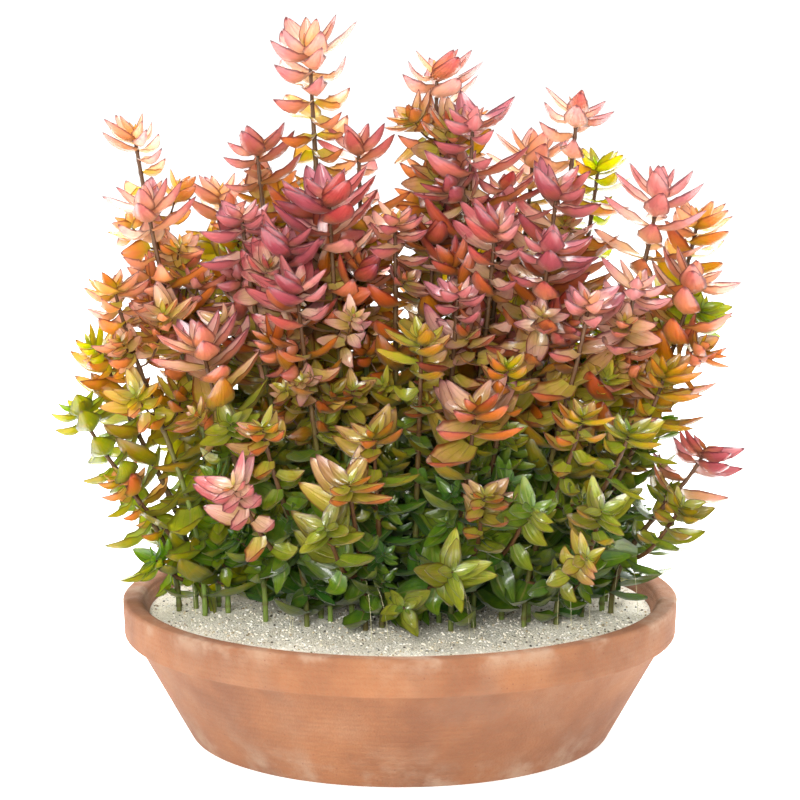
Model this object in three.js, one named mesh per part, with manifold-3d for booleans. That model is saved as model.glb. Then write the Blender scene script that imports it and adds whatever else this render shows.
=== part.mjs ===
// Pink-topped bacopa: a dense clump of leafy shoots, rooted in pale sand in a low round clay pan.
// Millimetres, +Z up. The origin is the middle of the pan's foot, and the clump is seen from -Y.
import * as THREE from 'three';
import { mergeVertices } from 'three/addons/utils/BufferGeometryUtils.js';
import Module from 'manifold-3d';

// The pan
const PAN_HEIGHT = 62;
const RIM_RADIUS = 122;
const RIM_DEPTH = 17;
const RIM_STEP = 5;
const RIM_THICKNESS = 8;
const RIM_ROUNDING = 2;
const FOOT_RADIUS = 92;
const FLOOR_HEIGHT = 9;
const FLOOR_RADIUS = 87;
const ROUND_SIDES = 32;

// The sand: a gap beside a slanted wall is widened by the slant
const SAND_TOP = 56;
const ROOT_DEPTH = 10;
const CLEARANCE = 0.3;
const SLANT = 1.4;

// The stems: a foot is nearer the middle of the pan than its tip, by these shares
const STEM_WIDTH = 2.2;
const FOOT_SHARE_X = 0.7;
const FOOT_SHARE_Y = 0.6;
const RISE_SHARE = 0.38;
const CROWN_SHARE = 0.32;
const TIP_LEAN = 0.8;
const BUD_HEIGHT = 4;

// Shoots over the first height stand free of the clump and show more tiers of leaves. The tiers
// are shares of the way down the stem, the lowest one first
const TALL = 195;
const SHORT = 80;
const TIERS = { tall: [0.66, 0.36, 0.07], middling: [0.66, 0.33], short: [0.45] };

// The leaves: stations are distances down the stem from its tip
const BAND = 2.2;
const CROWN_STEP = 1.05;
const CROWN_PAIRS = 4;
const MAIN_CROWN_BANDS = 2;
const SIDE_CROWN_BANDS = 1;
const FIRST_GAP = 3.5;
const LONGEST_GAP = 9.5;
const LEAF_HALF_WIDTH = 0.24;
const WIDEST_AT = 0.48;
const YAW_SPREAD = 8;
const PITCH_SPREAD = 6;
const SEED_STEPS = [31, 4, 7];

// A grown leaf's angles in degrees and its share of the grown length, what a leaf at the tip has on
// top of that, and over how many pairs the difference fades
const PITCH = { grown: 6, young: 72, fade: 3.2 };
const BEND = { grown: 14, young: -26, fade: 2.5 };
const SIZE = { grown: 1.12, young: -0.5, fade: 1.3 };

// How a leaf makes way for what is already there: shorter, lifted or turned, in degrees
const SHARES = [1, 0.88, 0.76, 0.64, 0.52];
const LIFTS = [0, 14, 28];
const TURNS = [0, 14, -14];
const STEM_CLEARANCE = 2.5;
const LEAF_CLEARANCE = 2.3;
const OWN_CLEARANCE = 1.5;
const OWN_REACH = 6;
const SAMPLE_STEP = 1.6;
const ACROSS_STEP = 0.25;
const HEADROOM = 1.5;

// Shoots seen from the front: tip x, tip y, tip height above the sand, length of a grown leaf,
// and on some of them the same four numbers of a side shoot
const FRONT_SHOOTS = [
  { tip: [-115, 6, 207], leaf: 15 },
  { tip: [-108, -14, 178], leaf: 19 },
  { tip: [-80, 30, 179], leaf: 17 },
  { tip: [-62, 6, 202], leaf: 18 },
  { tip: [-67, -26, 175], leaf: 19 },
  { tip: [-122, -22, 144], leaf: 20 },
  { tip: [-39, 6, 244], leaf: 20 },
  { tip: [-18, 6, 202], leaf: 18 },
  { tip: [-30, -30, 183], leaf: 22 },
  { tip: [-49, -38, 165], leaf: 18 },
  { tip: [31, -14, 214], leaf: 21 },
  { tip: [-2, -26, 173], leaf: 18 },
  { tip: [45, -6, 186], leaf: 18 },
  { tip: [40, -34, 171], leaf: 19 },
  { tip: [59, 30, 198], leaf: 18 },
  { tip: [67, -12, 184], leaf: 20 },
  { tip: [63, -38, 164], leaf: 18 },
  { tip: [24, -46, 145], leaf: 18 },
  { tip: [77, 10, 217], leaf: 21 },
  { tip: [89, 46, 191], leaf: 17 },
  { tip: [112, 0, 183], leaf: 19 },
  { tip: [131, 18, 169], leaf: 17 },
  { tip: [127, -10, 147], leaf: 19 },
  { tip: [79, -48, 141], leaf: 20 },
  { tip: [100, -31, 146], leaf: 20 },
  { tip: [16, 10, 234], leaf: 21 },
  { tip: [-43, -48, 147], leaf: 20 },
  { tip: [-83, -46, 123], leaf: 20 },
  { tip: [-129, 0, 111], leaf: 18 },
  { tip: [-139, -10, 90], leaf: 15 },
  { tip: [-57, -65, 91], leaf: 17, side: { tip: [-69, -72, 67], leaf: 19 } },
  { tip: [-21, -74, 69], leaf: 20, side: { tip: [-31, -77, 51], leaf: 17 } },
  { tip: [31, -70, 99], leaf: 22, side: { tip: [35, -76, 64], leaf: 15 } },
  { tip: [45, -58, 115], leaf: 17, side: { tip: [55, -72, 58], leaf: 17 } },
  { tip: [96, -55, 87], leaf: 18, side: { tip: [84, -67, 56], leaf: 16 } },
  { tip: [132, -19, 73], leaf: 17, side: { tip: [121, -34, 51], leaf: 16 } },
  { tip: [-122, -12, 61], leaf: 15, side: { tip: [-108, -17, 25], leaf: 15 } },
  { tip: [9, -58, 127], leaf: 17, side: { tip: [22, -77, 32], leaf: 17 } },
  { tip: [14, -10, 165], leaf: 18 },
  { tip: [-11, -67, 88], leaf: 17, side: { tip: [2, -70, 15], leaf: 12 } },
  { tip: [76, -62, 95], leaf: 17, side: { tip: [78, -70, 37], leaf: 13 } },
  { tip: [113, -31, 109], leaf: 17 },
];

// Shoots behind, in two curved rows
const BACK_ROWS = [
  { count: 8, halfSpan: 104, depth: 52, height: 158, leaf: 19, sideDrop: 0 },
  { count: 8, halfSpan: 92, depth: 80, height: 96, leaf: 18, sideDrop: 52 },
];
const BACK_STAGGER = { y: 7, z: 14 };
const BACK_SHOULDER = 0.22;
const BACK_SIDE_SHIFT = { x: -3, y: 5 };
const BACK_SIDE_LEAF = 16;

// Colours
const CLAY_COLOUR = 0xb5694a;
const SAND_COLOUR = 0xe2dccb;
const LOW_LEAF_COLOUR = 0x5f8f2f;
const HIGH_LEAF_COLOUR = 0xd9736b;
const FULL_HEIGHT = 200;
const CLAY_ROUGHNESS = 0.85;
const SAND_ROUGHNESS = 0.95;
const LEAF_ROUGHNESS = 0.5;

const wasm = await Module();
wasm.setup();

const MERGE_DISTANCE = 1e-4;
const UP = new THREE.Vector3(0, 0, 1);
const GOLDEN = (Math.sqrt(5) - 1) / 2;

// The n-th of a run of values spread evenly between -1 and 1
function spread(n) {
  const turn = n * GOLDEN;
  return 2 * (turn - Math.floor(turn)) - 1;
}

function radians(degrees) {
  return (degrees * Math.PI) / 180;
}

// A value that changes from a young leaf's to a grown leaf's, going down the stem
function aged({ grown, young, fade }, pair) {
  return grown + young * Math.exp(-pair / fade);
}

function aboveSand([x, y, height]) {
  return new THREE.Vector3(x, y, SAND_TOP + height);
}

// How far down the stem the k-th pair of leaves is: crowded at the tip, then ever wider apart
function pairStations(length) {
  const stations = [];
  let station = 0;
  for (let pair = 0; station < length; pair += 1) {
    stations.push(station);
    const gap = pair < CROWN_PAIRS ? CROWN_STEP : FIRST_GAP + BAND * (pair - CROWN_PAIRS);
    station += Math.min(gap, LONGEST_GAP);
  }
  return stations;
}

// One shoot: a stem on a curve from its foot to its tip, and its pairs of leaves
class Shoot {
  constructor(number, foot, tip, leafLength, startDirection) {
    this.number = number;
    this.foot = foot;
    this.tip = tip;
    this.leafLength = leafLength;
    this.length = foot.distanceTo(tip);
    const chord = tip.clone().sub(foot);
    const tipDirection = new THREE.Vector3(chord.x, chord.y, 0);
    tipDirection.multiplyScalar(TIP_LEAN / chord.z);
    tipDirection.add(UP).normalize();
    this.curve = new THREE.CubicBezierCurve3(
      foot,
      foot.clone().addScaledVector(startDirection, RISE_SHARE * this.length),
      tip.clone().addScaledVector(tipDirection, -CROWN_SHARE * this.length),
      tip,
    );
    this.stations = pairStations(this.length);
    this.reference = new THREE.Vector3(1, 0, 0).applyAxisAngle(UP, Math.PI * spread(number));
  }

  // The stem's middle, its direction and its two cross directions, at a distance below the tip
  frameAt(station) {
    const t = 1 - station / this.length;
    const along = this.curve.getTangent(Math.max(t, 0));
    const across = this.reference.clone();
    across.addScaledVector(along, -across.dot(along)).normalize();
    const over = new THREE.Vector3().crossVectors(along, across);
    return { middle: this.curve.getPoint(Math.max(t, 0)), along, across, over };
  }

  samples() {
    const count = Math.ceil(this.length / SAMPLE_STEP);
    return Array.from({ length: count + 1 }, (_, i) => this.curve.getPoint(i / count));
  }
}

// The outward directions of a stem's four sides
function outwards({ across, over }) {
  return [over.clone().negate(), across.clone(), over.clone(), across.clone().negate()];
}

// One leaf: its widest points and its tip, with its share of full size, lift and turn
function leafAt(shoot, pair, side, frame, { share, lift, turn }) {
  const seed = SEED_STEPS[0] * shoot.number + SEED_STEPS[1] * pair + side;
  const outward = outwards(frame)[side];
  outward.applyAxisAngle(frame.along, radians(YAW_SPREAD * spread(seed) + turn));
  const lateral = new THREE.Vector3().crossVectors(frame.along, outward);
  const pitch = radians(aged(PITCH, pair) + lift + PITCH_SPREAD * spread(seed + SEED_STEPS[2]));
  const bend = radians(aged(BEND, pair));
  const size = shoot.leafLength * share * aged(SIZE, pair);
  const base = frame.middle.clone().addScaledVector(outward, STEM_WIDTH / 2);
  const toward = (angle, length) => base.clone()
    .addScaledVector(outward, Math.cos(angle) * length)
    .addScaledVector(frame.along, Math.sin(angle) * length);
  const middle = toward(pitch + bend, size * WIDEST_AT);
  return {
    base,
    tip: toward(pitch, size),
    left: middle.clone().addScaledVector(lateral, -LEAF_HALF_WIDTH * size),
    right: middle.clone().addScaledVector(lateral, LEAF_HALF_WIDTH * size),
    cupped: bend < 0,
  };
}

// Points all over a leaf, a small step apart
function leafPoints({ base, tip, left, right }) {
  const points = [];
  const count = Math.ceil(base.distanceTo(tip) / SAMPLE_STEP);
  for (let i = 0; i <= count; i += 1) {
    const share = i / count;
    const isInner = share < WIDEST_AT;
    const from = isInner ? base : tip;
    const reach = isInner ? share / WIDEST_AT : (1 - share) / (1 - WIDEST_AT);
    for (let across = 0; across <= 1; across += ACROSS_STEP) {
      points.push(from.clone().lerp(left.clone().lerp(right, across), reach));
    }
  }
  return points;
}

// The space that is taken already, as points kept in small cubes
class Crowd {
  constructor() {
    this.cubes = new Map();
  }

  cube(point) {
    return [point.x, point.y, point.z].map((value) => Math.floor(value / STEM_CLEARANCE));
  }

  add(points, shoot, isStem) {
    for (const point of points) {
      const key = this.cube(point).join();
      if (!this.cubes.has(key)) {
        this.cubes.set(key, []);
      }
      this.cubes.get(key).push({ point, shoot, isStem });
    }
  }

  // Whether a point of a leaf, at a distance from its own stem, is clear of everything else
  isFree(point, shoot, fromStem) {
    const [x, y, z] = this.cube(point);
    for (let i = x - 1; i <= x + 1; i += 1) {
      for (let j = y - 1; j <= y + 1; j += 1) {
        for (let k = z - 1; k <= z + 1; k += 1) {
          for (const taken of this.cubes.get([i, j, k].join()) ?? []) {
            if (this.blocks(taken, point, shoot, fromStem)) {
              return false;
            }
          }
        }
      }
    }
    return true;
  }

  blocks(taken, point, shoot, fromStem) {
    const gap = taken.point.distanceTo(point);
    if (taken.shoot === shoot) {
      return !taken.isStem && fromStem > OWN_REACH && gap < OWN_CLEARANCE;
    }
    return gap < (taken.isStem ? STEM_CLEARANCE : LEAF_CLEARANCE);
  }
}

// Whether a point lies above the sand, or above the rim outside it
function isAbovePan(point) {
  const radius = Math.hypot(point.x, point.y);
  return point.z > HEADROOM + (radius > panInnerRadius(SAND_TOP) - HEADROOM ? PAN_HEIGHT : SAND_TOP);
}

// The first way of growing a leaf that is clear of everything so far, if there is one
function findLeaf(crowd, shoot, pair, side, frame) {
  for (const share of SHARES) {
    for (const lift of LIFTS) {
      for (const turn of TURNS) {
        const leaf = leafAt(shoot, pair, side, frame, { share, lift, turn });
        const points = leafPoints(leaf);
        const free = points.every((point) => isAbovePan(point)
          && crowd.isFree(point, shoot, point.distanceTo(leaf.base)));
        if (free) {
          crowd.add(points, shoot, false);
          return leaf;
        }
      }
    }
  }
  return null;
}

// A closed shell of triangles that grows ring by ring
class Shell {
  constructor() {
    this.points = [];
    this.faces = [];
  }

  point(position) {
    this.points.push(position.x, position.y, position.z);
    return this.points.length / 3 - 1;
  }

  ring(corners) {
    return corners.map((corner) => this.point(corner));
  }

  side(low, high, k) {
    const next = (k + 1) % 4;
    return [low[k], low[next], high[next], high[k]];
  }

  quad([a, b, c, d]) {
    this.faces.push(a, b, c, a, c, d);
  }

  wall(low, high) {
    for (let k = 0; k < 4; k += 1) {
      this.quad(this.side(low, high, k));
    }
  }

  // A leaf in place of one side of the stem: flat above and keeled below, or hollow above if cupped
  leaf([a, b, c, d], { tip, left, right, cupped }) {
    const [t, l, r] = [tip, left, right].map((corner) => this.point(corner));
    this.faces.push(d, a, l, b, c, r);
    if (cupped) {
      this.faces.push(c, d, t, d, l, t, r, c, t, a, b, r, a, r, l, l, r, t);
    } else {
      this.faces.push(c, d, l, c, l, r, r, l, t, a, b, t, a, t, l, b, r, t);
    }
  }

  bud(ring, apex) {
    const top = this.point(apex);
    for (let k = 0; k < 4; k += 1) {
      this.faces.push(ring[k], ring[(k + 1) % 4], top);
    }
  }

  geometry() {
    const geometry = new THREE.BufferGeometry();
    geometry.setAttribute('position', new THREE.Float32BufferAttribute(this.points, 3));
    geometry.setIndex(this.faces);
    geometry.computeVertexNormals();
    return geometry;
  }
}

function squareCorners({ middle, across, over }, halfWidth) {
  return [[-1, -1], [1, -1], [1, 1], [-1, 1]].map(([u, v]) => middle.clone()
    .addScaledVector(across, u * halfWidth)
    .addScaledVector(over, v * halfWidth));
}

// The first station at or below a share of a length
function pairNear(shoot, distance) {
  const found = shoot.stations.findIndex((station) => station >= distance);
  return found < 0 ? shoot.stations.length - 1 : found;
}

// The bands of a crown, which hold two pairs of leaves each, from the lowest one up
function crownBands(count) {
  return Array.from({ length: count }, (_, i) => count - 1 - i)
    .map((band) => ({ station: BAND * (band + 0.5), pairs: [2 * band + 1, 2 * band + 2] }));
}

// The lower bands, with one pair of leaves each, and the fork, from the lowest one up
function lowerBands(shoot, shares) {
  const reach = shoot.fork ? shoot.fork.station : shoot.length;
  const bands = shares.map((share) => {
    const pair = pairNear(shoot, share * reach);
    return { station: shoot.stations[pair], pairs: [pair] };
  });
  return shoot.fork ? [{ ...shoot.fork, pairs: [] }, ...bands] : bands;
}

// The side of the stem that faces a direction most nearly
function sideFacing(frame, direction) {
  const facing = outwards(frame).map((outward) => outward.dot(direction));
  return facing.indexOf(Math.max(...facing));
}

// The leaves of one band, by the side of the stem that they grow from
function planLeaves(crowd, shoot, band) {
  const frame = shoot.frameAt(band.station);
  band.leaves = [0, 1, 2, 3].map((side) => {
    const pair = band.pairs.find((candidate) => candidate % 2 === side % 2);
    return pair === undefined ? null : findLeaf(crowd, shoot, pair, side, frame);
  });
}

// Everything on one stem above its first ring, and its branch if it forks
function growBands(shell, shoot, firstRing) {
  let ring = firstRing;
  let ringStation = Infinity;
  for (const band of shoot.bands) {
    const lowStation = band.station + BAND / 2;
    if (ringStation - lowStation > CLEARANCE) {
      const low = shell.ring(squareCorners(shoot.frameAt(lowStation), STEM_WIDTH / 2));
      shell.wall(ring, low);
      ring = low;
    }
    ringStation = band.station - BAND / 2;
    const high = shell.ring(squareCorners(shoot.frameAt(ringStation), STEM_WIDTH / 2));
    for (let side = 0; side < 4; side += 1) {
      const corners = shell.side(ring, high, side);
      if (band.branch && side === band.branchSide) {
        growBands(shell, band.branch, corners);
      } else if (band.leaves[side]) {
        shell.leaf(corners, band.leaves[side]);
      } else {
        shell.quad(corners);
      }
    }
    ring = high;
  }
  shell.bud(ring, shoot.tip.clone().addScaledVector(shoot.frameAt(0).along, BUD_HEIGHT));
}

function rootFrame(shoot) {
  const frame = shoot.frameAt(shoot.length);
  frame.middle.z = SAND_TOP - ROOT_DEPTH;
  return frame;
}

function shootGeometry(shoot) {
  const shell = new Shell();
  const root = shell.ring(squareCorners(rootFrame(shoot), STEM_WIDTH / 2));
  shell.quad([...root].reverse());
  growBands(shell, shoot, root);
  return shell.geometry();
}

// A side shoot leaves its stem at half its own height
function addSideShoot(main, number, tip, leafLength) {
  const forkHeight = (tip.z + SAND_TOP) / 2;
  let station = main.length;
  while (main.frameAt(station).middle.z < forkHeight) {
    station -= BAND;
  }
  const frame = main.frameAt(station);
  const branchSide = sideFacing(frame, tip.clone().sub(frame.middle));
  const outward = outwards(frame)[branchSide];
  const start = frame.middle.clone().addScaledVector(outward, STEM_WIDTH / 2);
  const branch = new Shoot(number, start, tip, leafLength, outward);
  branch.reference = new THREE.Vector3().crossVectors(frame.along, outward);
  main.fork = { station, branch, branchSide };
  return branch;
}

function footUnder(tip) {
  return new THREE.Vector3(tip.x * FOOT_SHARE_X, tip.y * FOOT_SHARE_Y, SAND_TOP);
}

// The rows bend forwards and fall away towards their ends
function backRow(row) {
  return Array.from({ length: row.count }, (_, i) => {
    const share = (2 * i) / (row.count - 1) - 1;
    const shoulder = 1 - BACK_SHOULDER * share * share;
    const x = row.halfSpan * share;
    const y = row.depth * shoulder + BACK_STAGGER.y * spread(row.count + 5 * i);
    const z = row.height * shoulder + BACK_STAGGER.z * spread(1 + 3 * i);
    const place = { tip: [x, y, z], leaf: row.leaf };
    if (row.sideDrop > 0) {
      const sideTip = [x + BACK_SIDE_SHIFT.x * share, y + BACK_SIDE_SHIFT.y, z - row.sideDrop];
      place.side = { tip: sideTip, leaf: BACK_SIDE_LEAF };
    }
    return place;
  });
}

function growClump() {
  const mains = [];
  const branches = [];
  for (const place of [...FRONT_SHOOTS, ...BACK_ROWS.flatMap(backRow)]) {
    const tip = aboveSand(place.tip);
    const main = new Shoot(mains.length + branches.length + 1, footUnder(tip), tip, place.leaf, UP);
    mains.push(main);
    if (place.side) {
      const number = mains.length + branches.length + 1;
      branches.push(addSideShoot(main, number, aboveSand(place.side.tip), place.side.leaf));
    }
  }
  return { mains, branches };
}

// The shares of the way down at which a main shoot has its lower pairs
function tierShares(height) {
  if (height > TALL) {
    return TIERS.tall;
  }
  return height < SHORT ? TIERS.short : TIERS.middling;
}

// Crowns find their room before the leaves below them
function planClump({ mains, branches }) {
  const crowd = new Crowd();
  for (const shoot of [...mains, ...branches]) {
    crowd.add(shoot.samples(), shoot, true);
  }
  for (const main of mains) {
    main.lower = lowerBands(main, tierShares(main.tip.z - SAND_TOP));
    main.crown = crownBands(MAIN_CROWN_BANDS);
    main.bands = [...main.lower, ...main.crown];
  }
  for (const branch of branches) {
    branch.crown = crownBands(SIDE_CROWN_BANDS);
    branch.bands = branch.crown;
  }
  for (const shoot of [...mains, ...branches]) {
    shoot.crown.toReversed().forEach((band) => planLeaves(crowd, shoot, band));
  }
  for (const main of mains) {
    main.lower.forEach((band) => planLeaves(crowd, main, band));
  }
}

function turned(profile) {
  const geometry = new THREE.LatheGeometry(profile.map(([r, z]) => new THREE.Vector2(r, z)), ROUND_SIDES);
  return geometry.rotateX(Math.PI / 2);
}

function panInnerRadius(z) {
  const slope = (RIM_RADIUS - RIM_THICKNESS - FLOOR_RADIUS) / (PAN_HEIGHT - FLOOR_HEIGHT);
  return FLOOR_RADIUS + slope * (z - FLOOR_HEIGHT);
}

function panGeometry() {
  const collar = PAN_HEIGHT - RIM_DEPTH;
  return turned([
    [0, 0],
    [FOOT_RADIUS, 0],
    [RIM_RADIUS - RIM_STEP, collar],
    [RIM_RADIUS - RIM_ROUNDING / 2, collar + RIM_ROUNDING],
    [RIM_RADIUS, PAN_HEIGHT - RIM_ROUNDING],
    [RIM_RADIUS - RIM_ROUNDING, PAN_HEIGHT],
    [RIM_RADIUS - RIM_THICKNESS, PAN_HEIGHT],
    [FLOOR_RADIUS, FLOOR_HEIGHT],
    [0, FLOOR_HEIGHT],
  ]);
}

function sandGeometry() {
  const gap = CLEARANCE * SLANT;
  const bottom = FLOOR_HEIGHT + CLEARANCE;
  return turned([
    [0, bottom],
    [panInnerRadius(bottom) - gap, bottom],
    [panInnerRadius(SAND_TOP) - gap, SAND_TOP],
    [0, SAND_TOP],
  ]);
}

// A four-sided hole around the foot of a stem, a little wider than it and closed at the bottom
function socketGeometry(shoot) {
  const root = rootFrame(shoot);
  const first = shoot.frameAt(shoot.bands[0].station + BAND / 2);
  const rise = (ROOT_DEPTH + HEADROOM) / (first.middle.z - root.middle.z);
  const mouth = { ...root, middle: root.middle.clone().lerp(first.middle, rise) };
  root.middle.z -= CLEARANCE;
  const halfWidth = STEM_WIDTH / 2 + CLEARANCE * SLANT;
  const shell = new Shell();
  const low = shell.ring(squareCorners(root, halfWidth));
  const high = shell.ring(squareCorners(mouth, halfWidth));
  shell.quad([...low].reverse());
  shell.wall(low, high);
  shell.quad(high);
  return shell.geometry();
}

function solidOf(source) {
  const bare = source.clone();
  bare.deleteAttribute('normal');
  bare.deleteAttribute('uv');
  const merged = mergeVertices(bare, MERGE_DISTANCE);
  const index = Array.from(merged.index.array);
  const triangles = [];
  for (let i = 0; i < index.length; i += 3) {
    const [a, b, c] = index.slice(i, i + 3);
    if (a !== b && b !== c && c !== a) {
      triangles.push(a, b, c);
    }
  }
  return new wasm.Manifold(new wasm.Mesh({
    numProp: 3,
    vertProperties: new Float32Array(merged.attributes.position.array),
    triVerts: new Uint32Array(triangles),
  }));
}

function geometryOf(solid) {
  const { vertProperties, triVerts } = solid.getMesh();
  const geometry = new THREE.BufferGeometry();
  geometry.setAttribute('position', new THREE.Float32BufferAttribute(vertProperties, 3));
  geometry.setIndex(Array.from(triVerts));
  geometry.computeVertexNormals();
  return geometry;
}

function named(name, geometry, colour, roughness) {
  const material = new THREE.MeshStandardMaterial({ color: colour, roughness, metalness: 0 });
  const mesh = new THREE.Mesh(geometry, material);
  mesh.name = name;
  return mesh;
}

function leafColour(shoot) {
  const share = Math.min((shoot.tip.z - SAND_TOP) / FULL_HEIGHT, 1);
  return new THREE.Color(LOW_LEAF_COLOUR).lerp(new THREE.Color(HIGH_LEAF_COLOUR), share);
}

const clump = growClump();
planClump(clump);

let sand = solidOf(sandGeometry());
for (const main of clump.mains) {
  sand = sand.subtract(solidOf(socketGeometry(main)));
}

const plant = new THREE.Group();
plant.add(named('pan', panGeometry(), CLAY_COLOUR, CLAY_ROUGHNESS));
plant.add(named('sand', geometryOf(sand), SAND_COLOUR, SAND_ROUGHNESS));
clump.mains.forEach((main, i) => {
  const name = `shoot_${String(i + 1).padStart(2, '0')}`;
  plant.add(named(name, shootGeometry(main), leafColour(main), LEAF_ROUGHNESS));
});

export default plant;
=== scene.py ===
"""Potted colorata bacopa: leafy shoots, sand and a clay pan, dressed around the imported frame."""

import logging
import math
from collections.abc import Iterator
from dataclasses import dataclass, field
from enum import Enum
from random import Random

import bmesh
import bpy
from mathutils import Matrix, Vector, noise


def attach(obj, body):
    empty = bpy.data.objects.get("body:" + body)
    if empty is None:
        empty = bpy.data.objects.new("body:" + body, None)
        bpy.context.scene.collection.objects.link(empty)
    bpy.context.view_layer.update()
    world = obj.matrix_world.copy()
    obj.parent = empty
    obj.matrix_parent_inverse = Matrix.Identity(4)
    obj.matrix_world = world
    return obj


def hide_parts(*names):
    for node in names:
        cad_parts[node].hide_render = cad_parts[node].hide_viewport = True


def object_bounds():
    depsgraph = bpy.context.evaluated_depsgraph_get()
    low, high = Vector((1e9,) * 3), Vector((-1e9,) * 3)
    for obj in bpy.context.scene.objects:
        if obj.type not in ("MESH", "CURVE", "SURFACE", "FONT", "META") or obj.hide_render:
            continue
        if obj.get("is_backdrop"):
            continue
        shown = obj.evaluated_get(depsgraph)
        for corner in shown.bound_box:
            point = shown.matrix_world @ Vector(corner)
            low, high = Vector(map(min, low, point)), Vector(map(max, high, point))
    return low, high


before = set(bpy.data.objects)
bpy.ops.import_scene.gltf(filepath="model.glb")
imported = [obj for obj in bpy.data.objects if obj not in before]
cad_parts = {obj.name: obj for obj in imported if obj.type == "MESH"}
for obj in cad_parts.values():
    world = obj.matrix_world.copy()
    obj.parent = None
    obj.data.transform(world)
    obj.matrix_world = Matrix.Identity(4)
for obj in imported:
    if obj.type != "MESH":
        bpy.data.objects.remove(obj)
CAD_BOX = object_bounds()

LOG = logging.getLogger("potted_bacopa")
ROOT_BODY = "root"

# The maths is in millimetres, as the solids' is, and each finished mesh is in metres
METRES = 0.001
UP = Vector((0.0, 0.0, 1.0))
GOLDEN = (math.sqrt(5.0) - 1.0) / 2.0

# Numbers that the foliage stores at its points for the materials; glow also sets how much light and shade is
# painted into a leaf's colour
POINT_NUMBERS = ("warmth", "age", "tone", "glow")

# Warmths of colour, from green to pink red, at which the leaves' colours are given
WARMTHS = (0.0, 0.18, 0.34, 0.48, 0.62, 0.78, 0.92, 1.0)

# Front shoots: tip x, tip y, height above the sand, length of a grown leaf and warmth of colour,
# from 0 for green to 1 for pink red. A second row of five is the side shoot that the first carries.
FRONT_SHOOTS = (
    ((-115, 6, 207, 17, 0.75),),
    ((-108, -14, 178, 19, 0.85),),
    ((-80, 30, 179, 17, 0.7),),
    ((-62, 6, 202, 18, 0.8),),
    ((-67, -26, 175, 19, 1.0),),
    ((-122, -22, 144, 20, 0.62),),
    ((-39, 6, 244, 24, 0.8),),
    ((-18, 6, 202, 18, 0.9),),
    ((-30, -30, 183, 22, 1.0),),
    ((-49, -38, 165, 18, 1.0),),
    ((31, -14, 214, 21, 0.95),),
    ((-2, -26, 173, 18, 0.8),),
    ((45, -6, 186, 18, 0.95),),
    ((40, -34, 171, 19, 0.95),),
    ((59, 30, 198, 18, 0.75),),
    ((67, -12, 184, 20, 0.95),),
    ((63, -38, 164, 18, 0.95),),
    ((24, -46, 145, 18, 0.95),),
    ((77, 10, 217, 21, 0.85),),
    ((89, 46, 191, 17, 0.4),),
    ((112, 0, 183, 19, 0.95),),
    ((131, 18, 169, 17, 0.6),),
    ((127, -10, 147, 19, 0.7),),
    ((79, -48, 141, 20, 0.85),),
    ((100, -31, 146, 20, 0.85),),
    ((16, 10, 234, 21, 0.85),),
    ((-43, -48, 147, 20, 1.0),),
    ((-83, -46, 123, 20, 0.8),),
    ((-129, 0, 111, 18, 0.45),),
    ((-139, -10, 90, 18, 0.25),),
    ((-57, -65, 91, 17, 0.5), (-69, -72, 67, 19, 0.95)),
    ((-21, -74, 69, 20, 0.58), (-31, -77, 51, 17, 0.36)),
    ((31, -70, 99, 22, 0.64), (35, -76, 64, 15, 0.5)),
    ((45, -58, 115, 17, 0.45), (55, -72, 58, 17, 0.26)),
    ((96, -55, 87, 18, 0.38), (84, -67, 56, 16, 0.36)),
    ((132, -19, 73, 19, 0.95), (121, -34, 51, 16, 0.34)),
    ((-122, -12, 61, 15, 0.5), (-108, -17, 25, 15, 0.2)),
    ((9, -58, 127, 17, 0.45), (22, -77, 32, 17, 0.35)),
    ((14, -10, 165, 18, 0.7),),
    ((-11, -67, 88, 17, 0.45), (2, -70, 15, 12, 0.25)),
    ((76, -62, 95, 17, 0.45), (78, -70, 37, 13, 0.5)),
    ((113, -31, 109, 17, 0.5),),
)


def spread(number: int) -> float:
    """Gives the value of that number in a run spread evenly between -1 and 1."""
    return 2.0 * ((number * GOLDEN) % 1.0) - 1.0


def smooth_step(low: float, high: float, value: float) -> float:
    """Eases from 0 at low to 1 at high.

    Args:
        low: Value at and below which the result is 0.
        high: Value at and above which the result is 1.
        value: The value to place.

    Returns:
        A number from 0 to 1.
    """
    share = min(max((value - low) / (high - low), 0.0), 1.0)
    return share * share * (3.0 - 2.0 * share)


def linear(code: int) -> tuple[float, float, float, float]:
    """Turns a screen colour code into the shader's linear colour.

    Args:
        code: Red, green and blue as one hexadecimal number.

    Returns:
        Linear red, green, blue and an alpha of 1.
    """
    shares = [((code >> shift) & 255) / 255.0 for shift in (16, 8, 0)]
    bent = [s / 12.92 if s <= 0.04045 else ((s + 0.055) / 1.055) ** 2.4 for s in shares]
    return (bent[0], bent[1], bent[2], 1.0)


@dataclass(frozen=True)
class Ramp:
    """Colours on the way from 0 to 1: the place of each, and its screen colour code."""

    places: tuple[float, ...]
    codes: tuple[int, ...]


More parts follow.
